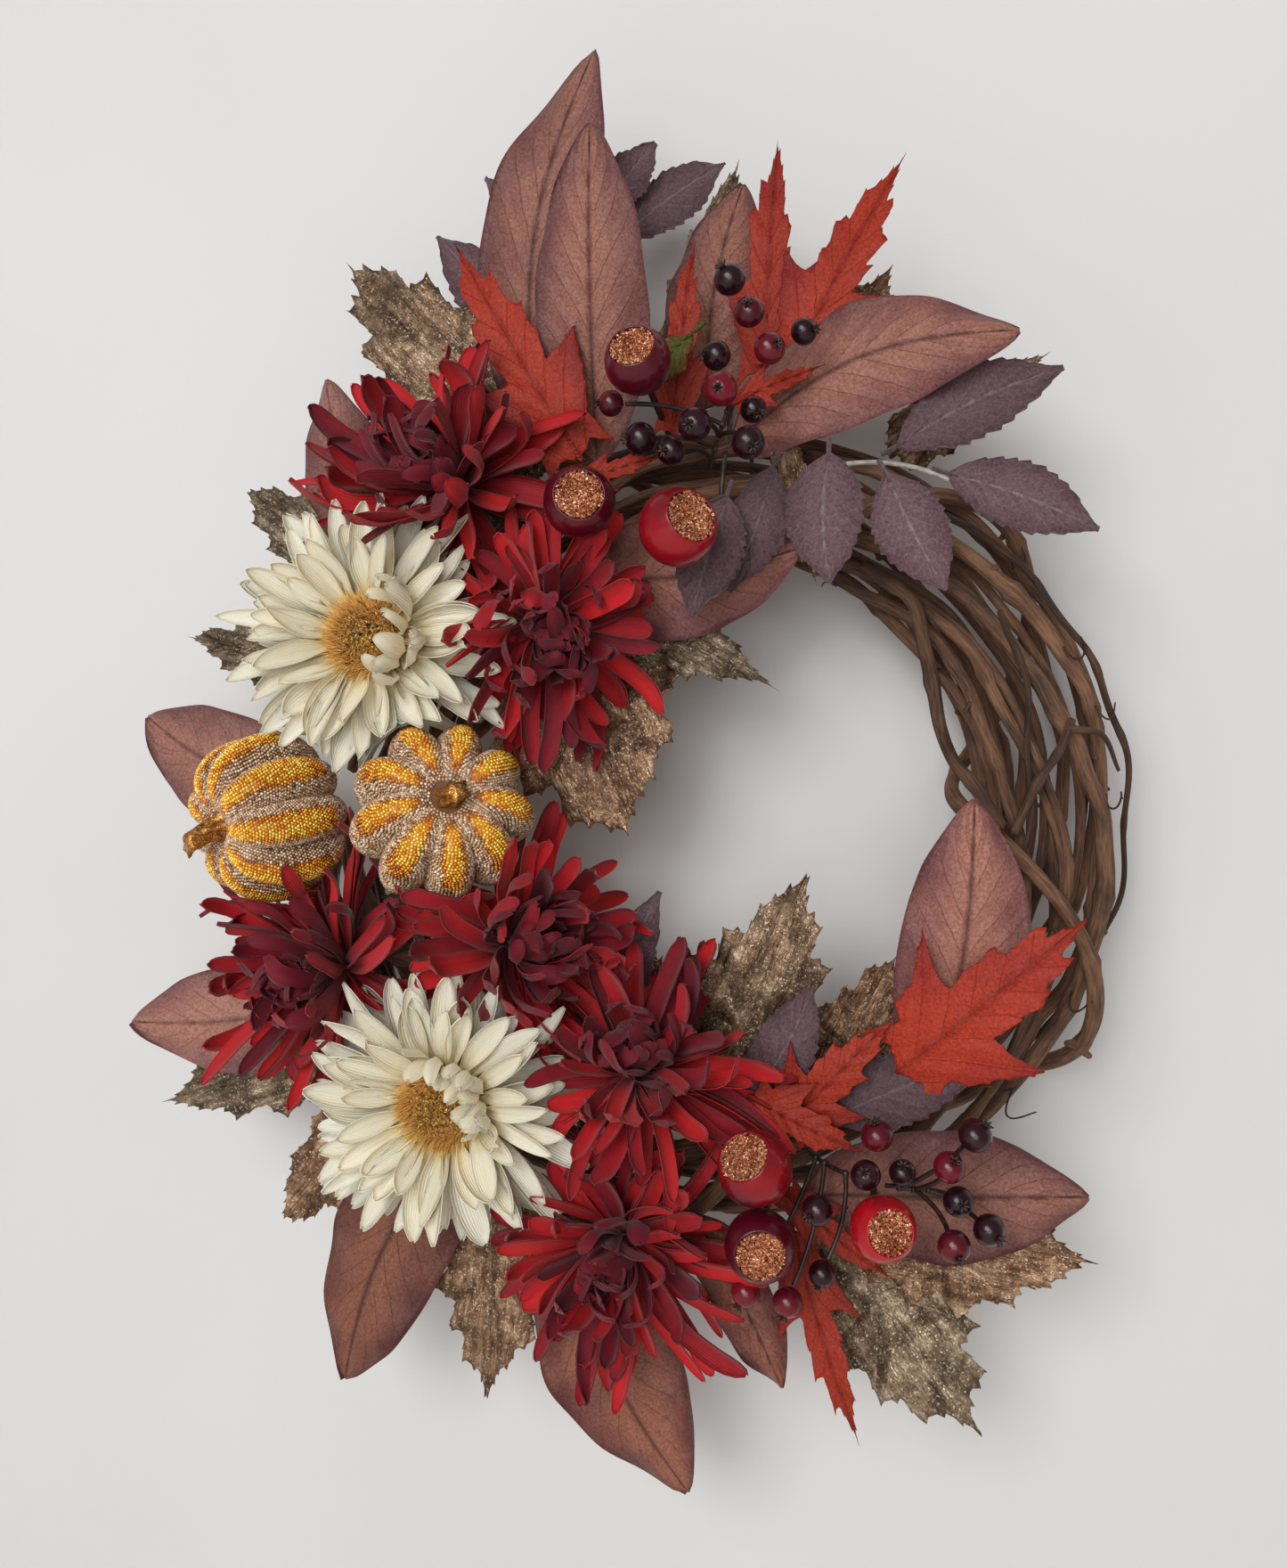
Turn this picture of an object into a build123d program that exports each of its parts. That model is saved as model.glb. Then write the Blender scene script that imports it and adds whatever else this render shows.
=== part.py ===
from build123d import *

import os
from math import asin, cos, radians, sin, sqrt

os.makedirs("parts", exist_ok=True)

# Harvest door wreath: a grapevine ring with silk flowers, leaves, beaded
# pumpkins, rose hips and berries wired to its left two thirds.
# Millimetres. +Z is up, -Y faces the room, +Y is the door. The origin is the
# top of the hanging loop's eye, where the door hook carries the wreath.

# --- driving dimensions -----------------------------------------------------
RING_RADIUS = 140.0          # centre line of the grapevine bundle
HOOK_RISE = 194.0            # hook above the ring's centre
HOOK_BEHIND = 27.0           # hook behind the ring's middle plane
CENTRE = Vector(0, -HOOK_BEHIND, -HOOK_RISE)
ROOM = Vector(0, -1, 0)      # the way the wreath faces

OUTER_SHELL = 24.5           # vines are laid in shells round the bundle's core
CORE_SHELLS = ((14.0, 4), (0.0, 1))
OUTER_VINES = 10
VINE_DIAMETERS = (6.4, 5.4, 6.0, 5.0, 6.6)
CORE_VINE_DIAMETER = 5.6
VINE_ARC = 350.0             # a vine's two ends don't quite meet

BUNDLE_RADIUS = sqrt(RING_RADIUS**2 + OUTER_SHELL**2)

BINDER_SHELL = 32.6          # the vine that is wound round the bundle
BINDER_DIAMETER = 6.4
BINDER_TURNS = 5
BINDER_STEPS = 12            # straight runs in a turn
BINDER_PHASE = 156.0

SEAT_SHELL = 33.5            # where stems meet the bundle's skin
LEAF_THICKNESS = 0.8
PETIOLE_LENGTH = 7.0
PETIOLE_WIDTH = 2.4
WIRE_DIAMETER = 2.0
CLEARANCE = 0.3


# --- places on the wreath ---------------------------------------------------
def spot(angle, radius, front):
    """Point at an angle from 3 o'clock, a radius, and a distance to the front."""
    turn = radians(angle)
    return CENTRE + Vector(radius * cos(turn), -front, radius * sin(turn))


def seat(angle, round_angle, shell=SEAT_SHELL):
    """Point on the bundle's skin: round_angle 0 is outermost, 90 is foremost."""
    turn = radians(round_angle)
    return spot(angle, BUNDLE_RADIUS + shell * cos(turn), shell * sin(turn))


def looking(origin, direction):
    """Plane at origin with its Z along direction and its X level."""
    side = Vector(0, 0, 1).cross(direction)
    return Plane(origin=origin, x_dir=side, z_dir=direction)


def placed(part, lay):
    """A part built about the origin, moved to a plane."""
    with BuildPart() as moved:
        with Locations(lay.location):
            add(part)
    return moved.part


def save(part, label):
    part.label = label
    export_step(part, f"parts/{label}.step")


def save_group(pieces, label):
    """Write separate solids of one kind as one node."""
    with BuildPart() as group:
        add(pieces)
    save(group.part, label)


# --- grapevine ring ---------------------------------------------------------
def vine(shell, phase, diameter):
    """One turn of vine, twisted once round the bundle (a Villarceau circle)."""
    radius = sqrt(RING_RADIUS**2 + shell**2)
    turn = radians(phase)
    aside = Vector(cos(turn), 0, sin(turn))
    across = Vector(-sin(turn), 0, cos(turn))
    tilt = asin(shell / radius)
    normal = Vector(0, 1, 0) * cos(tilt) + across * sin(tilt)
    left = Vector(-1, 0, 0)
    left_in_plane = left - normal * left.dot(normal)
    lay = Plane(origin=CENTRE + aside * shell, x_dir=left_in_plane, z_dir=normal)
    with BuildPart() as strand:
        with Locations(lay.location):
            Torus(radius, diameter / 2, major_angle=VINE_ARC)
    return strand.part


def grapevine():
    for number in range(OUTER_VINES):
        diameter = VINE_DIAMETERS[number % len(VINE_DIAMETERS)]
        strand = vine(OUTER_SHELL, number * 360 / OUTER_VINES, diameter)
        save(strand, f"vine_{number + 1:02d}")
    core = []
    for shell, count in CORE_SHELLS:
        for number in range(count):
            core.append(vine(shell, number * 360 / count + 18, CORE_VINE_DIAMETER))
    save_group(core, "core_vines")


def binder():
    """The vine wound round the bundle, as runs joined by tangent arcs."""
    count = BINDER_TURNS * BINDER_STEPS
    points = []
    for number in range(count):
        around = 360 * BINDER_TURNS * number / count
        points.append(seat(BINDER_PHASE - 360 * number / count, 180 - around, BINDER_SHELL))
    run = (points[1] - points[0]).length
    with BuildPart() as wound:
        with BuildLine() as path:
            FilletPolyline(*points[:-1], radius=run)
        with BuildSketch(Plane(origin=path.line @ 0, z_dir=path.line % 0)):
            Circle(BINDER_DIAMETER / 2)
        sweep()
    save(wound.part, "binding_vine")


def tendrils():
    """Thin curly shoots that spring from the bundle's skin."""
    curls = []
    rows = ((44, 20, 4.5), (30, 60, 6), (19, 10, 5), (-36, 20, 6), (66, 165, 4.5))
    for angle, round_angle, radius in rows:
        start = seat(angle, round_angle, SEAT_SHELL + 3)
        outward = start - spot(angle, BUNDLE_RADIUS, 0)
        lay = Plane(origin=start, x_dir=outward, z_dir=ROOM + outward.normalized() * 0.2)
        with BuildPart() as curl:
            with BuildLine(lay) as path:
                stalk = Line((0, 0), (radius, 0))
                wide = JernArc(stalk @ 1, stalk % 1, radius, 200)
                JernArc(wide @ 1, wide % 1, radius * 0.6, 160)
            with BuildSketch(Plane(origin=path.line @ 0, z_dir=path.line % 0)):
                Circle(0.7)
            sweep()
        curls.append(curl.part)
    save_group(curls, "vine_tendrils")


# --- hanging loop -----------------------------------------------------------
def hanging_loop():
    """Wire wrapped once round the bundle at the top, with an eye for the hook."""
    eye_radius = 12.0
    wire = WIRE_DIAMETER / 2
    wrap_radius = BINDER_SHELL + BINDER_DIAMETER / 2 + wire + CLEARANCE
    eye_centre = Vector(0, 0, -eye_radius + wire)
    wrap_centre = spot(90, BUNDLE_RADIUS, 0)
    neck = eye_centre - Vector(0, 0, eye_radius)
    toward = (wrap_centre - neck).normalized()
    foot = wrap_centre - toward * wrap_radius
    with BuildPart() as loop:
        with Locations(Plane(origin=eye_centre, z_dir=(0, 1, 0)).location):
            Torus(eye_radius, wire)
        with Locations(Plane(origin=wrap_centre, z_dir=(1, 0, 0)).location):
            Torus(wrap_radius, wire)
        with BuildSketch(Plane(origin=neck, z_dir=toward)):
            Circle(wire * 2)
        extrude(amount=(foot - neck).length)
    save(loop.part, "hanging_loop")


# --- leaves -----------------------------------------------------------------
def lens_outline(length, width):
    """Oval leaf with a pointed tip: two arcs."""
    with BuildSketch() as shape:
        with BuildLine():
            upper = ThreePointArc((0, PETIOLE_WIDTH / 2), (length * 0.45, width / 2), (length, 0))
            lower = ThreePointArc((0, -PETIOLE_WIDTH / 2), (length * 0.45, -width / 2), (length, 0))
            Line(upper @ 0, lower @ 0)
        make_face()
    return shape.sketch


def lobed_outline(lobes):
    """Outline maker from half a leaf's points, as parts of length and half width."""
    def outline(length, width):
        half = [(x * length, y * width / 2) for x, y in lobes]
        other = [(x, -y) for x, y in reversed(half)]
        with BuildSketch() as shape:
            with BuildLine():
                Polyline((0, PETIOLE_WIDTH / 2), *half, (length, 0), *other,
                         (0, -PETIOLE_WIDTH / 2), close=True)
            make_face()
        return shape.sketch
    return outline


MAPLE = lobed_outline(((0.10, 0.55), (0.26, 0.40), (0.45, 1.0), (0.52, 0.36), (0.74, 0.42)))
GLITTER = lobed_outline(((0.10, 0.80), (0.24, 0.74), (0.42, 1.0), (0.56, 0.74), (0.72, 0.66)))
OVAL = lens_outline


def leaf(outline, row, bow=0.07):
    """Bent plate of leaf, from its base to its tip, with its stub of petiole."""
    base_angle, base_radius, base_front, tip_angle, tip_radius, tip_front, width = row
    base = spot(base_angle, base_radius, base_front)
    along = spot(tip_angle, tip_radius, tip_front) - base
    length = along.length
    way = along.normalized()
    normal = (ROOM - way * ROOM.dot(way)).normalized()
    rise = bow * length
    with BuildPart() as blade:
        with BuildSketch(Plane(origin=base, x_dir=way, z_dir=way.cross(normal))):
            with BuildLine():
                back = ThreePointArc((-PETIOLE_LENGTH, 0), (length / 2, rise), (length, 0))
                face = ThreePointArc((-PETIOLE_LENGTH, LEAF_THICKNESS),
                                     (length / 2, rise + LEAF_THICKNESS),
                                     (length, LEAF_THICKNESS))
                Line(back @ 0, face @ 0)
                Line(back @ 1, face @ 1)
            make_face()
        extrude(amount=width, both=True)
        with BuildSketch(Plane(origin=base, x_dir=way, z_dir=normal)):
            add(outline(length, width))
            with Locations((-PETIOLE_LENGTH / 2 + 0.5, 0)):
                Rectangle(PETIOLE_LENGTH + 1, PETIOLE_WIDTH)
        extrude(amount=rise + 10, both=True, mode=Mode.INTERSECT)
    return blade.part


# Each leaf: its base's angle, radius and distance to the front, the same three
# for its tip, and its width.
MAGNOLIA_LEAVES = {
    "magnolia_leaves_top": (
        (118, 174, 26, 102.5, 323, 35, 50),
        (110, 154, 38, 102.5, 276, 72, 46),
        (94, 172, 24, 91, 265, 26, 40),
        (88, 153, 40, 60, 224, 54, 46),
        (123, 118, 32, 72, 118, 40, 50)),
    "magnolia_leaves_left": (
        (147, 166, 28, 135, 244, 48, 42),
        (-178, 169, 24, 175, 260, 26, 50),
        (-148, 171, 28, -155, 269, 34, 48)),
    "magnolia_leaves_bottom": (
        (-122, 168, 28, -117, 286, 30, 54),
        (-103, 175, 25, -85, 271, 36, 58),
        (-84, 160, 36, -75, 225, 45, 26)),
    "magnolia_leaves_right": (
        (-67, 154, 40, -37, 206, 48, 48),
        (-42, 140, 44, 9, 112, 62, 48)),
}
GLITTER_LEAVES = {
    "glitter_leaves_top": (
        (121, 172, 20, 128, 297, 22, 58),
        (133, 174, 18, 130, 250, 24, 48),
        (98, 178, 12, 92, 278, 16, 34),
        (80, 176, 14, 76, 240, 20, 42),
        (66, 176, 16, 58, 231, 25, 30),
        (80, 150, 42, 67, 108, 48, 16)),
    "glitter_leaves_inner": (
        (120, 108, 30, 67, 63, 28, 40),
        (130, 108, 24, 85, 46, 30, 44),
        (146, 108, 24, -157, 28, 32, 56)),
    "glitter_leaves_left": (
        (150, 176, 14, 150, 261, 16, 42),
        (163, 178, 14, 166, 255, 18, 30),
        (-143, 176, 18, -147, 273, 22, 48),
        (-133, 176, 20, -131, 258, 24, 42),
        (-112, 186, 18, -105, 261, 22, 50)),
    "glitter_leaves_right": (
        (-80, 118, 29, -17, 52, 41, 58),
        (-102, 108, 20, -98, 57, 28, 30),
        (-57, 118, 34, -28, 98, 38, 34),
        (-60, 172, 26, -42, 226, 38, 60),
        (-66, 176, 18, -59, 258, 34, 64)),
}
PURPLE_LEAVES = {
    "purple_leaves_top": (
        (104, 272, 10, 99.4, 295, 12, 20),
        (103, 262, 3, 93.7, 287, 2, 26),
        (108, 236, 3, 114.5, 307, 6, 24),
        (113, 216, 12, 120, 287, 16, 30),
        (116, 196, 10, 125.5, 247, 12, 30)),
    "purple_leaves_right": (
        (65, 168, 48, 55, 225, 46, 28),
        (57, 168, 50, 40, 192, 46, 26),
        (64, 154, 52, 46, 134, 52, 28),
        (73, 152, 54, 63, 108, 54, 31),
        (81, 142, 50, 84, 92, 50, 24),
        (87, 126, 59, 92, 79, 61, 27)),
    "purple_leaves_lower": (
        (-70, 110, 52, -46, 82, 56, 24),
        (-58, 128, 49, -31, 145, 57, 27),
        (-74, 116, 46, -62, 96, 50, 22),
        (-112, 104, 32, -108, 32, 38, 26)),
}
MAPLE_LEAVES = {
    "maple_leaves_top": (
        (112, 158, 56, 117, 250, 60, 54),
        (97, 162, 46, 94.5, 231, 47, 30),
        (86, 188, 34, 88, 278, 36, 40),
        (82, 190, 40, 77.5, 275, 34, 50),
        (86, 168, 56, 78, 183, 58, 18),
        (110, 140, 60, 98, 143, 62, 18)),
    "maple_leaves_lower": (
        (-40, 126, 59, -8, 154, 68, 64),
        (-64, 122, 56, -38, 110, 62, 40),
        (-67, 114, 62, -55, 142, 66, 32),
        (-70, 172, 42, -69, 248, 45, 34),
        (-68, 154, 50, -60, 191, 52, 24)),
}
GREEN_LEAVES = {
    "green_leaves": (
        (124, 158, 48, 122, 136, 52, 18),
        (-142, 116, 44, -142, 138, 46, 18),
        (-147, 186, 38, -144, 210, 41, 24),
        (94, 190, 60, 101, 168, 66, 14)),
}
FOLIAGE = ((OVAL, MAGNOLIA_LEAVES), (GLITTER, GLITTER_LEAVES), (OVAL, PURPLE_LEAVES),
           (MAPLE, MAPLE_LEAVES), (OVAL, GREEN_LEAVES))


def foliage():
    for outline, groups in FOLIAGE:
        for label, rows in groups.items():
            save_group([leaf(outline, row) for row in rows], label)


def wire(points, diameter):
    """Round wire through three points, as one arc."""
    with BuildPart() as bent:
        with BuildLine() as path:
            ThreePointArc(*points)
        with BuildSketch(Plane(origin=path.line @ 0, z_dir=path.line % 0)):
            Circle(diameter / 2)
        sweep()
    return bent.part


def spray_stems():
    """Main stems of the two purple sprays."""
    top = wire((spot(110, 178, 4), spot(106.5, 228, 4), spot(105, 278, 4)), WIRE_DIAMETER)
    right = wire((spot(78, 141, 44), spot(67, 158, 48), spot(57, 166, 50)), WIRE_DIAMETER)
    save_group([top, right], "spray_stems")


# --- flowers ----------------------------------------------------------------
MUM_HEIGHT = 42.0
CALYX_RADIUS = 8.0
STEM_DIAMETER = 4.0
# Each mum: its head's angle, radius and front, its seat's two angles, its size.
MUMS = (
    (130, 170, 66, 128, 75, 34),
    (130, 92, 66, 130, 125, 34),
    (-152, 162, 62, -151, 100, 29),
    (-136, 79, 65, -146, 125, 24),
    (-94, 94, 68, -95, 120, 34),
    (-93, 170, 64, -93, 72, 34))


def stem(centre, axis, back, foot):
    """Calyx and stalk, from behind a flower's head to its seat on the bundle."""
    top = centre - axis * (back + CLEARANCE)
    with BuildPart() as stalk:
        with BuildSketch(looking(top, axis * -1)):
            Circle(CALYX_RADIUS)
        extrude(amount=5, taper=35)
        with BuildSketch(looking(top, axis * -1)):
            Circle(STEM_DIAMETER / 2)
        extrude(amount=(top - foot).length)
    return stalk.part


def mum(number, row):
    """Dome of curled petals on its stem."""
    angle, radius, front, seat_angle, round_angle, size = row
    centre = spot(angle, radius, front)
    foot = seat(seat_angle, round_angle)
    axis = (centre - foot).normalized()
    back = MUM_HEIGHT * 0.4
    with BuildPart() as head:
        with BuildSketch(Plane.XZ):
            with BuildLine():
                Line((0, 0), (CALYX_RADIUS, 0))
                Spline((CALYX_RADIUS, 0), (size, MUM_HEIGHT * 0.4), (0, MUM_HEIGHT),
                       tangents=((1, 0), (-1, 0)))
                Line((0, MUM_HEIGHT), (0, 0))
            make_face()
        revolve(axis=Axis.Z)
    lay = looking(centre - axis * back, axis)
    save(placed(head.part, lay), f"mum_{number}_petals")
    save(stem(centre, axis, back, foot), f"mum_{number}_stem")


DAISY_RADIUS = 38.0
DISC_RADIUS = 17.5
DISC_HEIGHT = 9.0
# Each daisy: its disc's angle, radius and front, then its seat's two angles.
DAISIES = ((155, 145, 80, 156, 82), (-124, 147, 80, -125, 88))


def daisy(number, row):
    """Shallow cup of petals, the bristly disc in its middle, and its stem."""
    angle, radius, front, seat_angle, round_angle = row
    centre = spot(angle, radius, front)
    foot = seat(seat_angle, round_angle)
    axis = (centre - foot).normalized()
    lay = looking(centre, axis)
    with BuildPart() as petals:
        with BuildSketch(Plane.XZ):
            with BuildLine():
                Polyline((0, -14), (12, -14), (DAISY_RADIUS, -2), (DAISY_RADIUS, 5),
                         (DISC_RADIUS + CLEARANCE, -2), (DISC_RADIUS + CLEARANCE, -8),
                         (0, -8), close=True)
            make_face()
        revolve(axis=Axis.Z)
    with BuildPart() as disc:
        with BuildSketch(Plane.XY.offset(-8)):
            Circle(DISC_RADIUS)
        extrude(amount=DISC_HEIGHT)
        fillet(disc.edges().group_by(Axis.Z)[-1], 4)
    save(placed(petals.part, lay), f"daisy_{number}_petals")
    save(placed(disc.part, lay), f"daisy_{number}_disc")
    save(stem(centre, axis, 14, foot), f"daisy_{number}_stem")


# --- beaded pumpkins --------------------------------------------------------
PUMPKIN_RIBS = 9
PUMPKIN_HEIGHT = 56.0
RIB_RADIUS = 15.0
PUMPKIN_STEM_LENGTH = 19.0
PUMPKIN_STEM_RADIUS = 6.0
# Each pumpkin: its centre's angle, radius and front, the way its stem points,
# and its radius over the ribs.
PUMPKINS = (
    (-175, 172, 68, (-0.53, -0.81, -0.25), 35),
    (-176, 94.5, 71, (0.41, -0.85, 0.34), 36.5))


def pumpkin(number, row):
    angle, radius, front, direction, size = row
    centre = spot(angle, radius, front)
    axis = Vector(*direction).normalized()
    lay = looking(centre, axis)
    half = PUMPKIN_HEIGHT / 2
    rib_centre = size - RIB_RADIUS
    with BuildPart() as rib:
        with BuildSketch(Plane.XZ):
            with BuildLine():
                Line((rib_centre, -half), (rib_centre, half))
                top = JernArc((rib_centre, half), (1, 0), RIB_RADIUS, -90)
                side = Line(top @ 1, (size, RIB_RADIUS - half))
                JernArc(side @ 1, (0, -1), RIB_RADIUS, -90)
            make_face()
        revolve(axis=Axis((rib_centre, 0, 0), (0, 0, 1)))
    core_height = PUMPKIN_HEIGHT - 14
    with BuildPart() as shell:
        with PolarLocations(0, PUMPKIN_RIBS):
            add(rib.part)
        Cylinder(rib_centre, core_height)
    with BuildPart() as stalk:
        with BuildSketch(Plane.XY.offset(core_height / 2)):
            RegularPolygon(PUMPKIN_STEM_RADIUS, 5)
        extrude(amount=PUMPKIN_STEM_LENGTH, taper=5)
    save(placed(shell.part, lay), f"pumpkin_{number}_shell")
    save(placed(stalk.part, lay), f"pumpkin_{number}_stem")


# --- rose hips --------------------------------------------------------------
MOUTH = 0.70                 # mouth's radius, as a part of the hip's
MOUTH_DEPTH = 0.50           # how far in front of the centre its floor lies
HIP_STEM_DIAMETER = 2.6
# Each hip: angle, radius, front, the way its mouth faces, and its radius.
HIPS = {
    "top": (
        (99, 173, 86, (-0.08, -0.94, 0.33), 12.5),
        (111, 125, 86, (0.24, -0.97, 0.08), 13.5),
        (93, 109, 86, (0.62, -0.73, 0.27), 14.5)),
    "bottom": (
        (-70, 131, 86, (-0.38, -0.73, 0.56), 13.5),
        (-72, 159, 84, (0.15, -0.99, -0.08), 13.0),
        (-56, 165, 88, (0.33, -0.93, 0.17), 11.5)),
}


def hips():
    seeds = []
    stems = []
    for place, rows in HIPS.items():
        shells = []
        for angle, radius, front, direction, size in rows:
            axis = Vector(*direction).normalized()
            lay = looking(spot(angle, radius, front), axis)
            mouth = size * MOUTH
            with BuildPart() as shell:
                with Locations(lay.location):
                    Sphere(size)
                with BuildSketch(lay.offset(size * MOUTH_DEPTH)):
                    Circle(mouth)
                extrude(amount=size, mode=Mode.SUBTRACT)
            with BuildPart() as seed:
                with BuildSketch(lay.offset(size * MOUTH_DEPTH)):
                    Circle(mouth - CLEARANCE)
                extrude(amount=size * 0.16)
            behind = lay.origin - axis * (size + CLEARANCE)
            foot = seat(angle, 90 + (BUNDLE_RADIUS - radius))
            bend = behind + (foot - behind) * 0.5 - axis * 3
            stems.append(wire((behind, bend, foot), HIP_STEM_DIAMETER))
            shells.append(shell.part)
            seeds.append(seed.part)
        save_group(shells, f"hip_shells_{place}")
    save_group(seeds, "hip_mouths")
    save_group(stems, "hip_stems")


# --- berries ----------------------------------------------------------------
TWIG_DIAMETER = 1.8
BERRY_GAP = 0.6
# Each spray's main twig: three places, as angle, radius and front.
TWIGS = {
    "top": ((92, 142, 42), (89, 158, 58), (86, 186, 62)),
    "bottom": ((-64, 138, 46), (-59, 148, 60), (-50, 166, 64)),
}
# Each berry: how far up the twig its branch starts, its place, and its radius.
BERRIES = {
    "top": (
        (1.0, 89, 205, 78, 6.0), (0.9, 86, 191, 84, 5.6), (0.8, 90, 178, 72, 5.6),
        (0.7, 83, 179, 82, 5.8), (0.9, 80, 190, 74, 5.0), (0.5, 88, 161, 86, 6.2),
        (0.3, 91, 147, 88, 6.2), (0.3, 83, 143, 84, 6.2), (0.5, 84, 158, 74, 5.0),
        (0.1, 95, 139, 82, 5.4), (0.2, 100, 146, 78, 6.2), (0.4, 104, 163, 74, 5.0)),
    "bottom": (
        (0.6, -51, 138, 76, 5.8), (0.5, -55, 147, 82, 5.4), (0.7, -51, 154, 74, 4.8),
        (0.9, -45, 160, 82, 5.6), (0.8, -40, 158, 78, 6.0), (1.0, -47, 172, 78, 5.4),
        (1.0, -46, 185, 82, 5.6), (0.9, -50, 182, 86, 5.8), (0.4, -63, 151, 86, 5.6),
        (0.4, -66, 176, 74, 5.0), (0.2, -71, 184, 72, 5.6), (0.1, -76, 180, 68, 5.6)),
}


def berry_sprays():
    crowns = []
    for place, rows in BERRIES.items():
        berries = []
        with BuildLine() as main:
            ThreePointArc(*[spot(*point) for point in TWIGS[place]])
        branches = [wire([main.line @ part for part in (0, 0.5, 1)], TWIG_DIAMETER)]
        for part, angle, radius, front, size in rows:
            centre = spot(angle, radius, front)
            fork = main.line @ part
            bend = fork + (centre - fork) * 0.5 + (main.line % part) * 3
            way = (centre - bend).normalized()
            branches.append(wire((fork, bend, centre - way * (size + BERRY_GAP)), TWIG_DIAMETER))
            with BuildPart() as knot:
                with Locations(fork):
                    Sphere(TWIG_DIAMETER * 0.8)
            branches.append(knot.part)
            with BuildPart() as berry:
                with Locations(centre):
                    Sphere(size)
            with BuildPart() as crown:
                with BuildSketch(looking(centre + way * (size + 0.1), way)):
                    Circle(2.2)
                extrude(amount=2, taper=-20)
            berries.append(berry.part)
            crowns.append(crown.part)
        save_group(branches, f"berry_twigs_{place}")
        save_group(berries, f"berries_{place}")
    save_group(crowns, "berry_crowns")


grapevine()
binder()
tendrils()
hanging_loop()
foliage()
spray_stems()
for index, one_mum in enumerate(MUMS, start=1):
    mum(index, one_mum)
for index, one_daisy in enumerate(DAISIES, start=1):
    daisy(index, one_daisy)
for index, one_pumpkin in enumerate(PUMPKINS, start=1):
    pumpkin(index, one_pumpkin)
hips()
berry_sprays()
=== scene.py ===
from math import asin, cos, pi, radians, sin, sqrt

import bpy
import numpy as np
from mathutils import Matrix, Vector


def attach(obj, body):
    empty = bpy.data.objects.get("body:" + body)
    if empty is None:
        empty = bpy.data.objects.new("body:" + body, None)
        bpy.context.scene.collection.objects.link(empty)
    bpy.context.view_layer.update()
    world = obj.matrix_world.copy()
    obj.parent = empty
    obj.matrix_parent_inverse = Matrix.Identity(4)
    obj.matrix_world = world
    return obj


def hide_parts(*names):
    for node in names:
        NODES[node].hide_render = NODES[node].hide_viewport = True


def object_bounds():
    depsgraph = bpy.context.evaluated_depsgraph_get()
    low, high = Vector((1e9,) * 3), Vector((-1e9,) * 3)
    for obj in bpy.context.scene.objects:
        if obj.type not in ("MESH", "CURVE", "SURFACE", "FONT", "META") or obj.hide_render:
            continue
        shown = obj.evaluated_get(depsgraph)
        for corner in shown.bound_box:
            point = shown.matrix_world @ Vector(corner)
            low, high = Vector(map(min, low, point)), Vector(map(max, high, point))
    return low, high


# Harvest door wreath: the looks of a grapevine ring with silk flowers, leaves,
# beaded pumpkins, rose hips and berries. Metres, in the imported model's frame:
# +Z is up, -Y faces the room, and the ring's middle is at CENTRE.

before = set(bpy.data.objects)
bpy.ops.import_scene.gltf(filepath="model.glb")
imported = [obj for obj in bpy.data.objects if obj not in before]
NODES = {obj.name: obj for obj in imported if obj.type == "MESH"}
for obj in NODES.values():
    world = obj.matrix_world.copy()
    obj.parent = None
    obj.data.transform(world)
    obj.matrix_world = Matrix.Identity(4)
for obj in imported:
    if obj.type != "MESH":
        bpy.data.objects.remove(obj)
CAD_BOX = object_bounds()

RING_RADIUS = 0.140
CENTRE = np.array((0.0, -0.027, -0.194))
ROOM = np.array((0.0, -1.0, 0.0))
UP = np.array((0.0, 0.0, 1.0))
OUTER_SHELL = 0.0245
CORE_SHELLS = ((0.0140, 4), (0.0, 1))
OUTER_VINES = 10
VINE_DIAMETERS = (0.0064, 0.0054, 0.0060, 0.0050, 0.0066)
BUNDLE_RADIUS = sqrt(RING_RADIUS**2 + OUTER_SHELL**2)
BINDER_SHELL = 0.0326
BINDER_DIAMETER = 0.0064
BINDER_TURNS = 5
BINDER_PHASE = 156.0

dice = np.random.default_rng(23)


# --- small geometry ---------------------------------------------------------
def unit(v):
    return v / np.linalg.norm(v)


def spot(angle, radius, front):
    """Point at an angle from 3 o'clock, a radius, and a distance to the front."""
    turn = radians(angle)
    return CENTRE + np.array((radius * cos(turn), -front, radius * sin(turn)))


def seat(angle, round_angle, shell):
    """Point on a shell of the bundle: round_angle 0 is outermost, 90 foremost."""
    turn = radians(round_angle)
    return spot(angle, BUNDLE_RADIUS + shell * cos(turn), shell * sin(turn))


def step(low, high, x):
    """Smooth rise from 0 at low to 1 at high."""
    t = np.clip((np.asarray(x, float) - low) / (high - low), 0, 1)
    return t * t * (3 - 2 * t)


def frame_about(axis):
    """Two unit vectors square to an axis, the first one level."""
    side = np.cross(UP, axis)
    if np.linalg.norm(side) < 1e-6:
        side = np.array((1.0, 0.0, 0.0))
    side = unit(side)
    return side, np.cross(axis, side)


def circle(side, other, turns, reach=1.0):
    """Offsets at some turns about an axis, from two unit vectors square to it."""
    return side * (reach * np.cos(turns))[..., None] + other * (reach * np.sin(turns))[..., None]


def laps(count):
    """Turns of some points evenly spaced round a circle."""
    return np.arange(count) * 2 * pi / count


def run_of(path):
    """How far along a path each of its points lies."""
    return np.r_[0, np.cumsum(np.linalg.norm(np.diff(path, axis=0), axis=1))]


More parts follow.
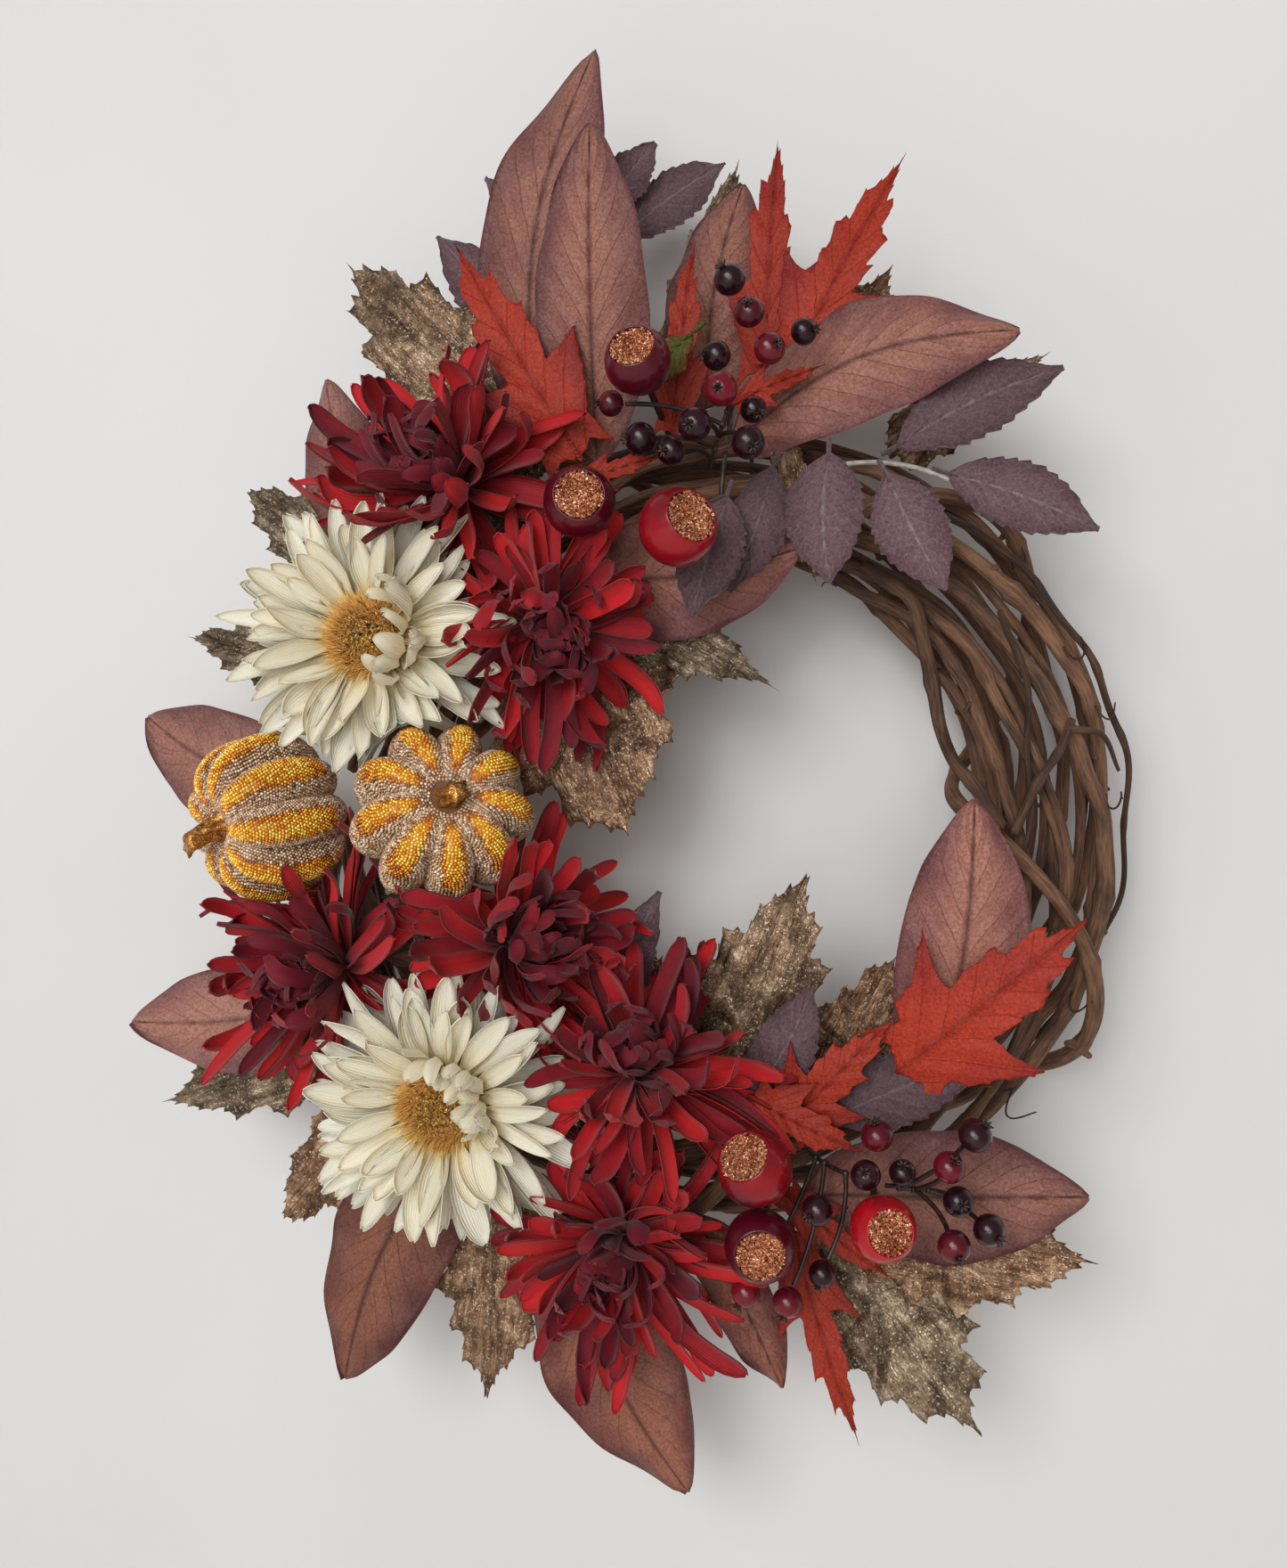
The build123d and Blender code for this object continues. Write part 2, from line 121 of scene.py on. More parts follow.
class Ripples:
    """Smooth random field in space, as a sum of sine waves."""

    def __init__(self, wavelength, count=6):
        ways = dice.normal(size=(count, 3))
        ways /= np.linalg.norm(ways, axis=1)[:, None]
        self.waves = ways * (2 * pi / wavelength) * dice.uniform(0.6, 1.5, (count, 1))
        self.phases = dice.uniform(0, 2 * pi, count)

    def at(self, points):
        return np.sin(points @ self.waves.T + self.phases).sum(axis=1) / sqrt(len(self.phases))


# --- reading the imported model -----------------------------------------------
def points_of(node):
    mesh = NODES[node].data
    flat = np.empty(len(mesh.vertices) * 3)
    mesh.vertices.foreach_get("co", flat)
    return flat.reshape(-1, 3)


def solids_of(node):
    """The points of each separate solid in a node."""
    mesh = NODES[node].data
    points = points_of(node)
    _, same = np.unique(np.round(points, 6), axis=0, return_inverse=True)
    same = same.ravel()
    ends = np.empty(len(mesh.edges) * 2, dtype=np.int64)
    mesh.edges.foreach_get("vertices", ends)
    ends = same[ends.reshape(-1, 2)]
    label = np.arange(same.max() + 1)
    while True:
        least = label.copy()
        np.minimum.at(least, ends[:, 0], label[ends[:, 1]])
        np.minimum.at(least, ends[:, 1], label[ends[:, 0]])
        least = least[least]
        if np.array_equal(least, label):
            break
        label = least
    found = label[same]
    return [points[found == one] for one in np.unique(found)]


def ball_of(points):
    """Centre and radius of the sphere that most of the points lie on."""
    kept = points
    for _ in range(3):
        rows = np.c_[2 * kept, np.ones(len(kept))]
        fit = np.linalg.lstsq(rows, (kept**2).sum(axis=1), rcond=None)[0]
        centre = fit[:3]
        radius = sqrt(fit[3] + centre @ centre)
        off = np.abs(np.linalg.norm(points - centre, axis=1) - radius)
        kept = points[off < max(0.0004, np.quantile(off, 0.5))]
    return centre, radius


def blades_of(node):
    """Base, tip and width of each leaf in a node. A leaf's petiole ends square."""
    found = []
    for points in solids_of(node):
        far = points[np.argmax(np.linalg.norm(points - points.mean(axis=0), axis=1))]
        other = points[np.argmax(np.linalg.norm(points - far, axis=1))]
        far = points[np.argmax(np.linalg.norm(points - other, axis=1))]
        way = unit(other - far)
        along = points @ way
        ends = (points[along < along.min() + 0.0004], points[along > along.max() - 0.0004])
        spreads = [np.linalg.norm(end - end.mean(axis=0), axis=1).max() for end in ends]
        base, tip = ends if spreads[0] > spreads[1] else ends[::-1]
        base = base.mean(axis=0)
        tip = tip.mean(axis=0)
        way = unit(tip - base)
        normal = unit(ROOM - way * (ROOM @ way))
        across = (points - base) @ np.cross(normal, way)
        found.append((base, tip, normal, across.max() - across.min()))
    return found


def head_of(head, stalk):
    """A flower's axis, the middle of its back, its radius and its height."""
    points = points_of(head)
    foot = points_of(stalk).mean(axis=0)
    axis = unit(points.mean(axis=0) - foot)
    along = (points - foot) @ axis
    away = points - foot - np.outer(along, axis)
    radius = np.linalg.norm(away, axis=1).max()
    return axis, foot + axis * along.min(), radius, along.max() - along.min()


# --- gathering meshes -------------------------------------------------------
class Heap:
    """Points and faces gathered for one piece, with values for its material.
    paint is (along, across, tone, extra), and grain is a place on its surface."""

    def __init__(self):
        self.points = []
        self.paint = []
        self.grain = []
        self.faces = []
        self.count = 0

    def add(self, points, faces, paint, grain=None):
        points = np.asarray(points, float).reshape(-1, 3)
        values = np.empty((len(points), 4))
        values[:] = paint
        self.points.append(points)
        self.paint.append(values)
        self.grain.append(points if grain is None else grain)
        for block in faces:
            self.faces.extend((np.asarray(block) + self.count).tolist())
        self.count += len(points)

    def piece(self, name, material, slot, nodes=(), smooth=True):
        mesh = bpy.data.meshes.new(name)
        mesh.from_pydata(np.concatenate(self.points).tolist(), [], self.faces)
        for label, kind, values in (("paint", "FLOAT_COLOR", self.paint),
                                    ("grain", "FLOAT_VECTOR", self.grain)):
            layer = mesh.attributes.new(label, kind, "POINT")
            field = "color" if kind == "FLOAT_COLOR" else "vector"
            layer.data.foreach_set(field, np.concatenate(values).astype(np.float32).ravel())
        mesh.polygons.foreach_set("use_smooth", [smooth] * len(mesh.polygons))
        mesh.materials.append(material)
        piece = bpy.data.objects.new(name, mesh)
        bpy.context.scene.collection.objects.link(piece)
        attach(piece, "root")
        if nodes:
            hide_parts(*nodes)
        return piece


def grid_faces(rows, columns, start=0, flip=False):
    """Quads between the points of a grid."""
    index = np.arange(rows * columns).reshape(rows, columns) + start
    quads = np.stack((index[:-1, :-1], index[1:, :-1], index[1:, 1:], index[:-1, 1:]), axis=-1)
    quads = quads.reshape(-1, 4)
    return quads[:, ::-1] if flip else quads


def ring_stack(rows, sides):
    """Faces of rings stacked in order, closed by fans to two more points."""
    index = np.arange(rows * sides).reshape(rows, sides)
    nexts = np.roll(index, -1, axis=1)
    quads = np.stack((index[:-1], nexts[:-1], nexts[1:], index[1:]), axis=-1).reshape(-1, 4)
    first = np.stack((nexts[0], index[0], np.full(sides, rows * sides)), axis=-1)
    last = np.stack((index[-1], nexts[-1], np.full(sides, rows * sides + 1)), axis=-1)
    return quads, first, last


def closed_sheet(heap, middle, thickness, u, v, tone, extra, under=0.0):
    """Thin closed sheet about a grid of middle points, with a rim all round.
    u runs along it and v across it. under is added to extra on its lower face."""
    rows, columns = middle.shape[:2]
    paint = np.empty((rows, columns, 4))
    paint[..., 0] = u[:, None]
    paint[..., 1] = (v[None, :] + 1) / 2
    paint[..., 2] = tone
    paint[..., 3] = extra
    normals = grid_normals(middle)
    total = rows * columns
    half = (normals * thickness / 2).reshape(-1, 3)
    flat = middle.reshape(-1, 3)
    index = np.arange(total).reshape(rows, columns)
    rim = np.concatenate((index[0, :], index[1:, -1], index[-1, -2::-1], index[-2:0:-1, 0]))
    after = np.roll(rim, -1)
    sides = np.stack((rim, after, after + total, rim + total), axis=-1)
    faces = (grid_faces(rows, columns), grid_faces(rows, columns, total, True), sides[:, ::-1])
    lower = paint.reshape(-1, 4) + (0, 0, 0, under)
    heap.add(np.concatenate((flat + half, flat - half)), faces,
             np.concatenate((paint.reshape(-1, 4), lower)))


def grid_normals(middle):
    """Unit normals of a grid of points."""
    along = np.gradient(middle, axis=0)
    across = np.gradient(middle, axis=1)
    normals = np.cross(along, across)
    return normals / np.maximum(np.linalg.norm(normals, axis=-1, keepdims=True), 1e-12)


def tube(heap, path, radii, sides=10, tone=0.5, extra=0.0, rough=0.0):
    """Closed tube along a path, with round ends and a slightly uneven section."""
    path = np.asarray(path, float)
    count = len(path)
    radii = np.broadcast_to(np.asarray(radii, float), (count,)).copy()
    ways = np.gradient(path, axis=0)
    ways /= np.linalg.norm(ways, axis=1)[:, None]
    side = unit(np.cross(ways[0], UP if abs(ways[0][2]) < 0.9 else ROOM))
    run = run_of(path)
    turns = laps(sides)
    twist = dice.uniform(0, 2 * pi)
    rings = []
    for index in range(count):
        side = unit(side - ways[index] * (side @ ways[index]))
        other = np.cross(ways[index], side)
        uneven = 1 + rough * np.sin(2 * turns + twist + run[index] * 60)
        rings.append(path[index] + circle(side, other, turns, radii[index] * uneven))
    points = np.concatenate(rings)
    ends = np.array((path[0] - ways[0] * radii[0] * 0.5, path[-1] + ways[-1] * radii[-1] * 0.5))
    along = np.r_[np.repeat(run, sides), run[0], run[-1]]
    around = np.r_[np.tile(turns, count), 0, 0]
    shift = dice.uniform(0, 5)
    grain = np.c_[np.cos(around) * 0.003, np.sin(around) * 0.003, along + shift]
    share = along / max(run[-1], 1e-9)
    paint = np.c_[share, around / (2 * pi), np.full(len(along), tone), np.full(len(along), extra)]
    heap.add(np.concatenate((points, ends)), ring_stack(count, sides), paint, grain)


def smooth_path(points, count):
    """Points evenly spaced along a Catmull-Rom curve through some places."""
    points = np.asarray(points, float)
    padded = np.vstack((2 * points[0] - points[1], points, 2 * points[-1] - points[-2]))
    made = []
    for t in np.linspace(0, len(points) - 1, count):
        index = min(int(t), len(points) - 2)
        f = t - index
        a, b, c, d = padded[index:index + 4]
        made.append(0.5 * (2 * b + (c - a) * f + (2 * a - 5 * b + 4 * c - d) * f**2
                           + (3 * b - a - 3 * c + d) * f**3))
    return np.array(made)


PLAIN = (0, 0, 0.5, 0.5)      # paint of pieces whose material doesn't vary by it
ICO = (1 + sqrt(5)) / 2
ICO_POINTS = np.array([(-1, ICO, 0), (1, ICO, 0), (-1, -ICO, 0), (1, -ICO, 0),
                       (0, -1, ICO), (0, 1, ICO), (0, -1, -ICO), (0, 1, -ICO),
                       (ICO, 0, -1), (ICO, 0, 1), (-ICO, 0, -1), (-ICO, 0, 1)])
ICO_POINTS = ICO_POINTS / np.linalg.norm(ICO_POINTS[0])
ICO_FACES = np.array([(0, 11, 5), (0, 5, 1), (0, 1, 7), (0, 7, 10), (0, 10, 11), (1, 5, 9),
                      (5, 11, 4), (11, 10, 2), (10, 7, 6), (7, 1, 8), (3, 9, 4), (3, 4, 2),
                      (3, 2, 6), (3, 6, 8), (3, 8, 9), (4, 9, 5), (2, 4, 11), (6, 2, 10),
                      (8, 6, 7), (9, 8, 1)])
GRAIN_POINTS = np.array([(1, 0, 0), (-1, 0, 0), (0, 1, 0), (0, -1, 0), (0, 0, 1), (0, 0, -1)], float)
GRAIN_FACES = np.array([(0, 2, 4), (2, 1, 4), (1, 3, 4), (3, 0, 4),
                        (2, 0, 5), (1, 2, 5), (3, 1, 5), (0, 3, 5)])


def scatter(heap, places, shape, faces, sizes, paint):
    """Copies of one small closed shape, each turned its own way."""
    count = len(places)
    spins = dice.normal(size=(count, 3, 3))
    spins, _ = np.linalg.qr(spins)
    spins *= np.sign(np.linalg.det(spins))[:, None, None]
    turned = np.einsum("nij,kj->nki", spins, shape)
    points = places[:, None, :] + turned * np.asarray(sizes)[:, None, None]
    index = faces[None] + (np.arange(count) * len(shape))[:, None, None]
    values = np.repeat(np.broadcast_to(paint, (count, 4)), len(shape), axis=0)
    heap.add(points, (index.reshape(-1, 3),), values)


# --- materials --------------------------------------------------------------
class Looks:
    """A node material under construction."""

    def __init__(self, name, roughness=0.5, metallic=0.0, coat=0.0, sheen=0.0, specular=0.5):
        self.material = bpy.data.materials.new(name)
        self.material.use_nodes = True
        self.nodes = self.material.node_tree.nodes
        self.links = self.material.node_tree.links
        self.shader = self.nodes["Principled BSDF"]
        self.shader.inputs["Roughness"].default_value = roughness
        self.shader.inputs["Metallic"].default_value = metallic
        self.shader.inputs["Coat Weight"].default_value = coat
        self.shader.inputs["Coat Roughness"].default_value = 0.12
        self.shader.inputs["Sheen Weight"].default_value = sheen
        self.shader.inputs["Specular IOR Level"].default_value = specular

    def node(self, kind, values=(), **fields):
        node = self.nodes.new(kind)
        for key, value in fields.items():
            setattr(node, key, value)
        for key, value in dict(values).items():
            if isinstance(value, bpy.types.NodeSocket):
                self.links.new(value, node.inputs[key])
            else:
                node.inputs[key].default_value = value
        return node

    def attribute(self, name):
        return self.node("ShaderNodeAttribute", attribute_name=name)

    def paint(self):
        """along, across, tone and extra, as four sockets."""
        read = self.attribute("paint")
        split = self.node("ShaderNodeSeparateColor", {"Color": read.outputs["Color"]})
        return [split.outputs[0], split.outputs[1], split.outputs[2], read.outputs["Alpha"]]

    def place(self):
        """Where a point lies on its piece, along the grain."""
        return self.attribute("grain").outputs["Vector"]

    def here(self):
        """Where a point lies in the piece's own space."""
        return self.node("ShaderNodeTexCoord").outputs["Object"]

    def stretched(self, vector, scale):
        made = self.node("ShaderNodeMapping", {"Vector": vector})
        made.inputs["Scale"].default_value = scale
        return made.outputs["Vector"]

    def noise(self, vector, scale, detail=3.0, rough=0.6):
        values = {"Vector": vector, "Scale": scale, "Detail": detail, "Roughness": rough}
        return self.node("ShaderNodeTexNoise", values).outputs["Fac"]

    def cells(self, scale):
        """Random numbers in small cells, as three sockets."""
        values = {"Vector": self.here(), "Scale": scale}
        colour = self.node("ShaderNodeTexVoronoi", values).outputs["Color"]
        return self.node("ShaderNodeSeparateColor", {"Color": colour}).outputs

    def math(self, operation, a, b=0.0, clamp=False):
        node = self.node("ShaderNodeMath", operation=operation, use_clamp=clamp)
        for index, value in enumerate((a, b)):
            if isinstance(value, bpy.types.NodeSocket):
                self.links.new(value, node.inputs[index])
            else:
                node.inputs[index].default_value = value
        return node.outputs[0]

    def times(self, a, b):
        return self.math("MULTIPLY", a, b)

    def plus(self, a, b, clamp=False):
        return self.math("ADD", a, b, clamp)

    def about_zero(self, value, amount):
        """A value of about a half, moved to lie about zero and scaled."""
        return self.times(self.math("SUBTRACT", value, 0.5), amount)

    def toned(self, body, tone, dark):
        """A colour, darker where the tone is low."""
        lifted = self.ramp(tone, (0.0, (dark, dark, dark)), (1.0, (255, 255, 255)))
        return self.mix(1.0, body, lifted, "MULTIPLY")

    def ramp(self, factor, *stops):
        node = self.node("ShaderNodeValToRGB", {"Fac": factor})
        ramp = node.color_ramp
        while len(ramp.elements) < len(stops):
            ramp.elements.new(1.0)
        for element, (place, colour) in zip(ramp.elements, stops):
            element.position = place
            element.color = linear(colour)
        return node.outputs["Color"]

    def grey(self, factor, low, high, dark=0.0, light=1.0):
        """A value between low and high, carried to between dark and light."""
        values = {"Value": factor, "From Min": low, "From Max": high, "To Min": dark, "To Max": light}
        return self.node("ShaderNodeMapRange", values, clamp=True).outputs["Result"]

    def mix(self, factor, a, b, blend="MIX"):
        node = self.node("ShaderNodeMix", data_type="RGBA", blend_type=blend)
        for index, value in ((0, factor), (6, a), (7, b)):
            if isinstance(value, bpy.types.NodeSocket):
                self.links.new(value, node.inputs[index])
            else:
                node.inputs[index].default_value = value if index == 0 else linear(value)
        return node.outputs[2]

    def colour(self, socket):
        self.links.new(socket, self.shader.inputs["Base Color"])

    def roughness(self, socket):
        self.links.new(socket, self.shader.inputs["Roughness"])

    def bump(self, height, strength, distance):
        """Relief, on top of any that is there already."""
        values = {"Height": height, "Strength": strength, "Distance": distance}
        node = self.node("ShaderNodeBump", values)
        previous = self.shader.inputs["Normal"].links
        if previous:
            self.links.new(previous[0].from_socket, node.inputs["Normal"])
        self.links.new(node.outputs["Normal"], self.shader.inputs["Normal"])


def linear(colour):
    """A colour in 0-255 display values, as linear RGBA."""
    made = [((c / 255 + 0.055) / 1.055) ** 2.4 if c > 10 else c / 255 / 12.92 for c in colour]
    return (*made, 1.0)


def bark(name, dark, middle, pale):
    """Fibrous vine bark with lighter and darker patches."""
    looks = Looks(name, roughness=0.72)
    place = looks.place()
    fibres = looks.noise(looks.stretched(place, (1, 1, 0.10)), 900, 5, 0.65)
    patches = looks.noise(looks.stretched(place, (1, 1, 0.6)), 60, 3, 0.6)
    tone = looks.paint()[2]
    mottled = looks.plus(looks.times(fibres, 0.5), looks.times(patches, 0.5))
    shade = looks.plus(mottled, looks.about_zero(tone, 0.10))
    looks.colour(looks.ramp(shade, (0.38, dark), (0.49, middle), (0.62, pale)))
    looks.roughness(looks.grey(patches, 0.3, 0.7, 0.6, 0.9))
    looks.bump(fibres, 1.0, 0.0012)
    looks.bump(patches, 0.6, 0.0015)
    return looks.material


def petal_silk(name, bright, deep, base, rib=0.35, glow=0.0):
    """Dyed fabric petal, brightest on the outer petals and deep at the heart: partly the dye, partly
    painted highlight on the outer petals and painted shade in the heart.
    """
    looks = Looks(name, roughness=0.62, sheen=0.12, specular=0.25)
    looks.shader.inputs["Subsurface Weight"].default_value = glow
    looks.shader.inputs["Subsurface Radius"].default_value = (0.004, 0.003, 0.002)
    looks.shader.inputs["Subsurface Scale"].default_value = 1.0
    along, across, tone, depth = looks.paint()
    here = looks.here()
    blotch = looks.noise(here, 260, 3, 0.6)
    shade = looks.plus(depth, looks.about_zero(blotch, 0.35))
    body = looks.ramp(shade, (0.12, bright), (0.78, deep))
    # Towards its root a petal takes the base colour: partly its own colour, partly painted shade in the
    # flower's heart.
    root = looks.grey(along, 0.0, 0.45, 1.0, 0.0)
    body = looks.mix(looks.times(root, 0.75), body, base)
    looks.colour(looks.toned(body, tone, 205))
    lines = looks.node("ShaderNodeTexWave", {"Scale": 1.6, "Distortion": 1.2, "Detail": 2.0},
                       wave_type="BANDS", bands_direction="Y")
    mapped = looks.node("ShaderNodeCombineXYZ", {"X": along, "Y": looks.times(across, 2.2)})
    looks.links.new(mapped.outputs[0], lines.inputs["Vector"])
    looks.bump(lines.outputs["Fac"], rib, 0.0006)
    looks.bump(looks.noise(here, 1900, 2, 0.5), 0.25, 0.0003)
    return looks.material


def veined_leaf(name, field, edge, vein, pairs, slope=0.30, vein_width=0.06, patina=0.5,
                roughness=0.5, sheen=0.0, blotch_scale=45, printed=0.5):
    """Leaf with a midrib and forward-sweeping side veins, printed and embossed."""
    looks = Looks(name, roughness=roughness, sheen=sheen, specular=0.22)
    along, across, tone, _ = looks.paint()
    here = looks.here()
    side = looks.math("ABSOLUTE", looks.math("SUBTRACT", looks.times(across, 2.0), 1.0))
    wander = looks.about_zero(looks.noise(here, 90, 2), 0.035)
    swept = looks.math("SUBTRACT", looks.plus(along, wander),
                       looks.times(looks.math("POWER", side, 0.8), slope))
    net = looks.node("ShaderNodeTexVoronoi", {"Vector": here, "Scale": 420}, feature="DISTANCE_TO_EDGE")
    net = looks.grey(net.outputs["Distance"], 0.0, 0.14, 1.0, 0.0)
    between = looks.math("FRACT", looks.times(swept, pairs))
    tooth = looks.math("ABSOLUTE", looks.math("SUBTRACT", between, 0.5))
    ribs = looks.grey(tooth, 0.0, vein_width, 1.0, 0.0)
    ribs = looks.times(ribs, looks.grey(side, 0.55, 1.0, 1.0, 0.25))
    midrib = looks.grey(side, 0.0, 0.075, 1.0, 0.0)
    veins = looks.math("MAXIMUM", looks.times(ribs, 0.6), midrib)
    rim = looks.grey(looks.plus(side, looks.times(along, 0.15)), 0.35, 1.1)
    patches = looks.noise(here, blotch_scale, 4, 0.6)
    blotched = looks.plus(rim, looks.about_zero(patches, patina * 2))
    body = looks.mix(looks.plus(blotched, 0.0, True), field, edge)
    body = looks.mix(looks.times(veins, printed), body, vein)
    body = looks.mix(looks.times(net, 0.12), body, vein)
    body = looks.toned(body, tone, 205)
    weave = looks.ramp(looks.noise(here, 900, 4, 0.7), (0.36, (204, 192, 192)), (0.62, (255, 255, 255)))
    looks.colour(looks.mix(1.0, body, weave, "MULTIPLY"))
    looks.bump(veins, 0.6, -0.0008)
    looks.bump(looks.times(tooth, looks.grey(side, 0.7, 1.0, -1.0, 0.0)), 0.5, 0.0016)
    looks.bump(net, 0.25, -0.0004)
    looks.bump(looks.noise(here, 1400, 3, 0.6), 0.3, 0.0003)
    looks.bump(looks.noise(here, 170, 3, 0.6), 0.35, 0.0012)
    return looks.material


def magnolia(name, field, edge, vein, printed):
    """Printed magnolia leaf in one of its shades."""
    return veined_leaf(name, field, edge, vein, 9.5, vein_width=0.045, patina=0.9,
                       roughness=0.46, sheen=0.1, printed=printed)


def glittered(name, colours, scale, metallic, roughness, grit=0.8, painted_glint_share=0.5, patch=75):
    """Fine glitter: small facets that each catch the light their own way."""
    looks = Looks(name, roughness=roughness, metallic=metallic)
    here = looks.here()
    facets = looks.cells(scale)
    patches = looks.noise(here, patch, 4, 0.7)
    # Painted glints and shade: each facet's colour is lighter or darker at random, as if it caught the
    # light its own way.
    shade = looks.plus(looks.times(facets[0], painted_glint_share), looks.times(patches, 1 - painted_glint_share))
    looks.colour(looks.ramp(shade, *colours))
    looks.roughness(looks.grey(facets[1], 0.0, 1.0, roughness - 0.15, roughness + 0.2))
    looks.bump(facets[2], grit, 0.0005)
    looks.bump(looks.noise(here, scale * 0.4, 2), 0.5, 0.0008)
    return looks.material


def foiled():
    """Crumpled metal foil on a leaf: creases run along it, painted darker and lighter as shade and
    highlight, with painted glints of glitter.
    """
    looks = Looks("champagne_foil", roughness=0.4, metallic=0.72)
    along, across, tone, _ = looks.paint()
    here = looks.here()
    folded = looks.node("ShaderNodeCombineXYZ", {
        "X": looks.times(along, 5.0), "Y": looks.times(across, 15.0),
        "Z": looks.times(tone, 9.0)})
    creases = looks.noise(folded.outputs[0], 1.0, 5, 0.62)
    patches = looks.noise(here, 130, 4, 0.65)
    facets = looks.cells(1500)
    # Painted shade and highlight: the creases and patches carry the colour from a shaded bronze to a lit
    # champagne.
    shade = looks.plus(looks.times(creases, 0.5), looks.times(patches, 0.5))
    warm = looks.ramp(shade, (0.34, (58, 40, 28)), (0.48, (128, 92, 68)), (0.58, (180, 142, 110)),
                      (0.70, (240, 212, 178)))
    cool = looks.ramp(shade, (0.34, (50, 42, 34)), (0.48, (106, 92, 74)), (0.58, (156, 140, 116)),
                      (0.70, (228, 216, 194)))
    body = looks.mix(tone, cool, warm)
    # Painted glints: a few facets turned nearly white.
    painted_glints = looks.grey(facets[0], 0.86, 0.97)
    body = looks.mix(looks.times(painted_glints, 0.40), body, (255, 240, 214))
    # Painted shade: a few facets darkened as if they were shaded pits.
    painted_pit_shade = looks.grey(facets[1], 0.0, 0.14, 1.0, 0.0)
    looks.colour(looks.mix(looks.times(painted_pit_shade, 0.6), body, (60, 44, 34)))
    looks.roughness(looks.grey(facets[2], 0.0, 1.0, 0.26, 0.55))
    looks.bump(creases, 1.0, 0.0030)
    looks.bump(patches, 0.7, 0.0016)
    looks.bump(facets[2], 0.35, 0.0004)
    return looks.material


def lacquer(name, bright, deep, scale):
    """Clouded lacquer under a clear coat."""
    looks = Looks(name, roughness=0.36, coat=0.35, specular=0.25)
    _, _, tone, depth = looks.paint()
    clouds = looks.noise(looks.here(), scale, 3, 0.55)
    shade = looks.plus(looks.times(clouds, 0.7), looks.times(depth, 0.65))
    body = looks.ramp(shade, (0.25, bright), (0.75, deep))
    looks.colour(looks.toned(body, tone, 175))
    looks.roughness(looks.grey(clouds, 0.3, 0.7, 0.2, 0.38))
    looks.bump(looks.noise(looks.here(), 1200, 3), 0.12, 0.0003)
    return looks.material


def plain_grain(name, dark, pale, scale, roughness, metallic=0.0):
    """Small worked surface with colour variation and a fine grain."""
    looks = Looks(name, roughness=roughness, metallic=metallic)
    grain = looks.noise(looks.here(), scale, 4, 0.6)
    looks.colour(looks.ramp(grain, (0.35, dark), (0.65, pale)))
    looks.roughness(looks.grey(grain, 0.3, 0.7, roughness - 0.1, roughness + 0.1))
    looks.bump(grain, 0.3, 0.0005)
    return looks.material


def beads(name, stops, coat, metallic, roughness):
    """Glass beads, each lighter or darker at random: partly its own tint, partly painted sparkle."""
    looks = Looks(name, roughness=roughness, metallic=metallic, coat=coat)
    _, _, tone, glow = looks.paint()
    shade = looks.plus(looks.times(tone, 0.46), looks.times(glow, 0.54))
    looks.colour(looks.ramp(shade, *stops))
    specks = looks.noise(looks.here(), 3000, 1)
    looks.roughness(looks.grey(specks, 0.3, 0.7, roughness - 0.06, roughness + 0.1))
    return looks.material


BARK = bark("grapevine_bark", (58, 38, 27), (102, 69, 49), (142, 103, 76))
TENDRIL_BARK = bark("tendril_bark", (36, 22, 15), (70, 46, 32), (110, 78, 56))
MUM_SILK = petal_silk("mum_silk", (204, 28, 34), (112, 14, 34), (96, 8, 28))
DAISY_SILK = petal_silk("daisy_silk", (255, 247, 222), (255, 238, 198), (252, 228, 164), 0.4, 0.4)
MAGNOLIA = magnolia("magnolia_leaf", (186, 126, 108), (130, 80, 82), (86, 48, 44), 0.8)
ROSE_MAGNOLIA = magnolia("magnolia_leaf_rose", (200, 142, 124), (146, 98, 98), (110, 70, 66), 0.7)
BROWN_MAGNOLIA = magnolia("magnolia_leaf_brown", (166, 106, 84), (108, 60, 58), (68, 36, 34), 0.8)
PURPLE = veined_leaf("mauve_leaf", (114, 86, 92), (92, 63, 72), (174, 156, 160), 7.5,
                     patina=0.8, roughness=0.62, sheen=0.25, printed=0.45)
MAPLE = veined_leaf("maple_leaf", (188, 60, 38), (128, 26, 32), (128, 34, 26), 6.5, 0.42,
                    vein_width=0.05, patina=1.1, roughness=0.55, blotch_scale=24, printed=0.55)
GREEN = veined_leaf("green_leaf", (100, 106, 44), (124, 78, 42), (130, 134, 70), 8.0)
CHAMPAGNE = foiled()
COPPER = glittered("copper_glitter", ((0.28, (104, 46, 28)), (0.45, (172, 90, 60)),
                   (0.6, (222, 148, 106)), (0.8, (255, 222, 180))), 2400, 0.7, 0.36)
STEM_GOLD = glittered("stem_gold", ((0.3, (98, 54, 20)), (0.5, (178, 112, 48)),
                      (0.7, (236, 190, 110))), 2600, 0.8, 0.34, 0.3, 0.3, 240)
HIP_RED = lacquer("hip_lacquer", (196, 18, 30), (84, 8, 26), 45)
BERRY_RED = lacquer("berry_lacquer", (132, 18, 38), (42, 10, 22), 70)
TWIG = plain_grain("twig_black_brown", (20, 11, 10), (58, 32, 26), 300, 0.45)
WIRE = plain_grain("hanging_wire", (70, 62, 52), (110, 100, 86), 500, 0.45, 0.8)
STALK = plain_grain("stalk_green", (44, 62, 30), (84, 98, 52), 260, 0.6)
PALE_STEM = plain_grain("frosted_stem", (128, 116, 112), (186, 176, 170), 260, 0.65)
BRISTLE = beads("disc_bristle", ((0.1, (112, 58, 14)), (0.45, (188, 122, 34)), (0.9, (242, 202, 98))),
                0.0, 0.0, 0.55)
DISC_GLITTER = glittered("disc_glitter", ((0.2, (84, 52, 14)), (0.5, (170, 118, 44)),
                         (0.8, (240, 204, 120))), 2600, 0.6, 0.42)
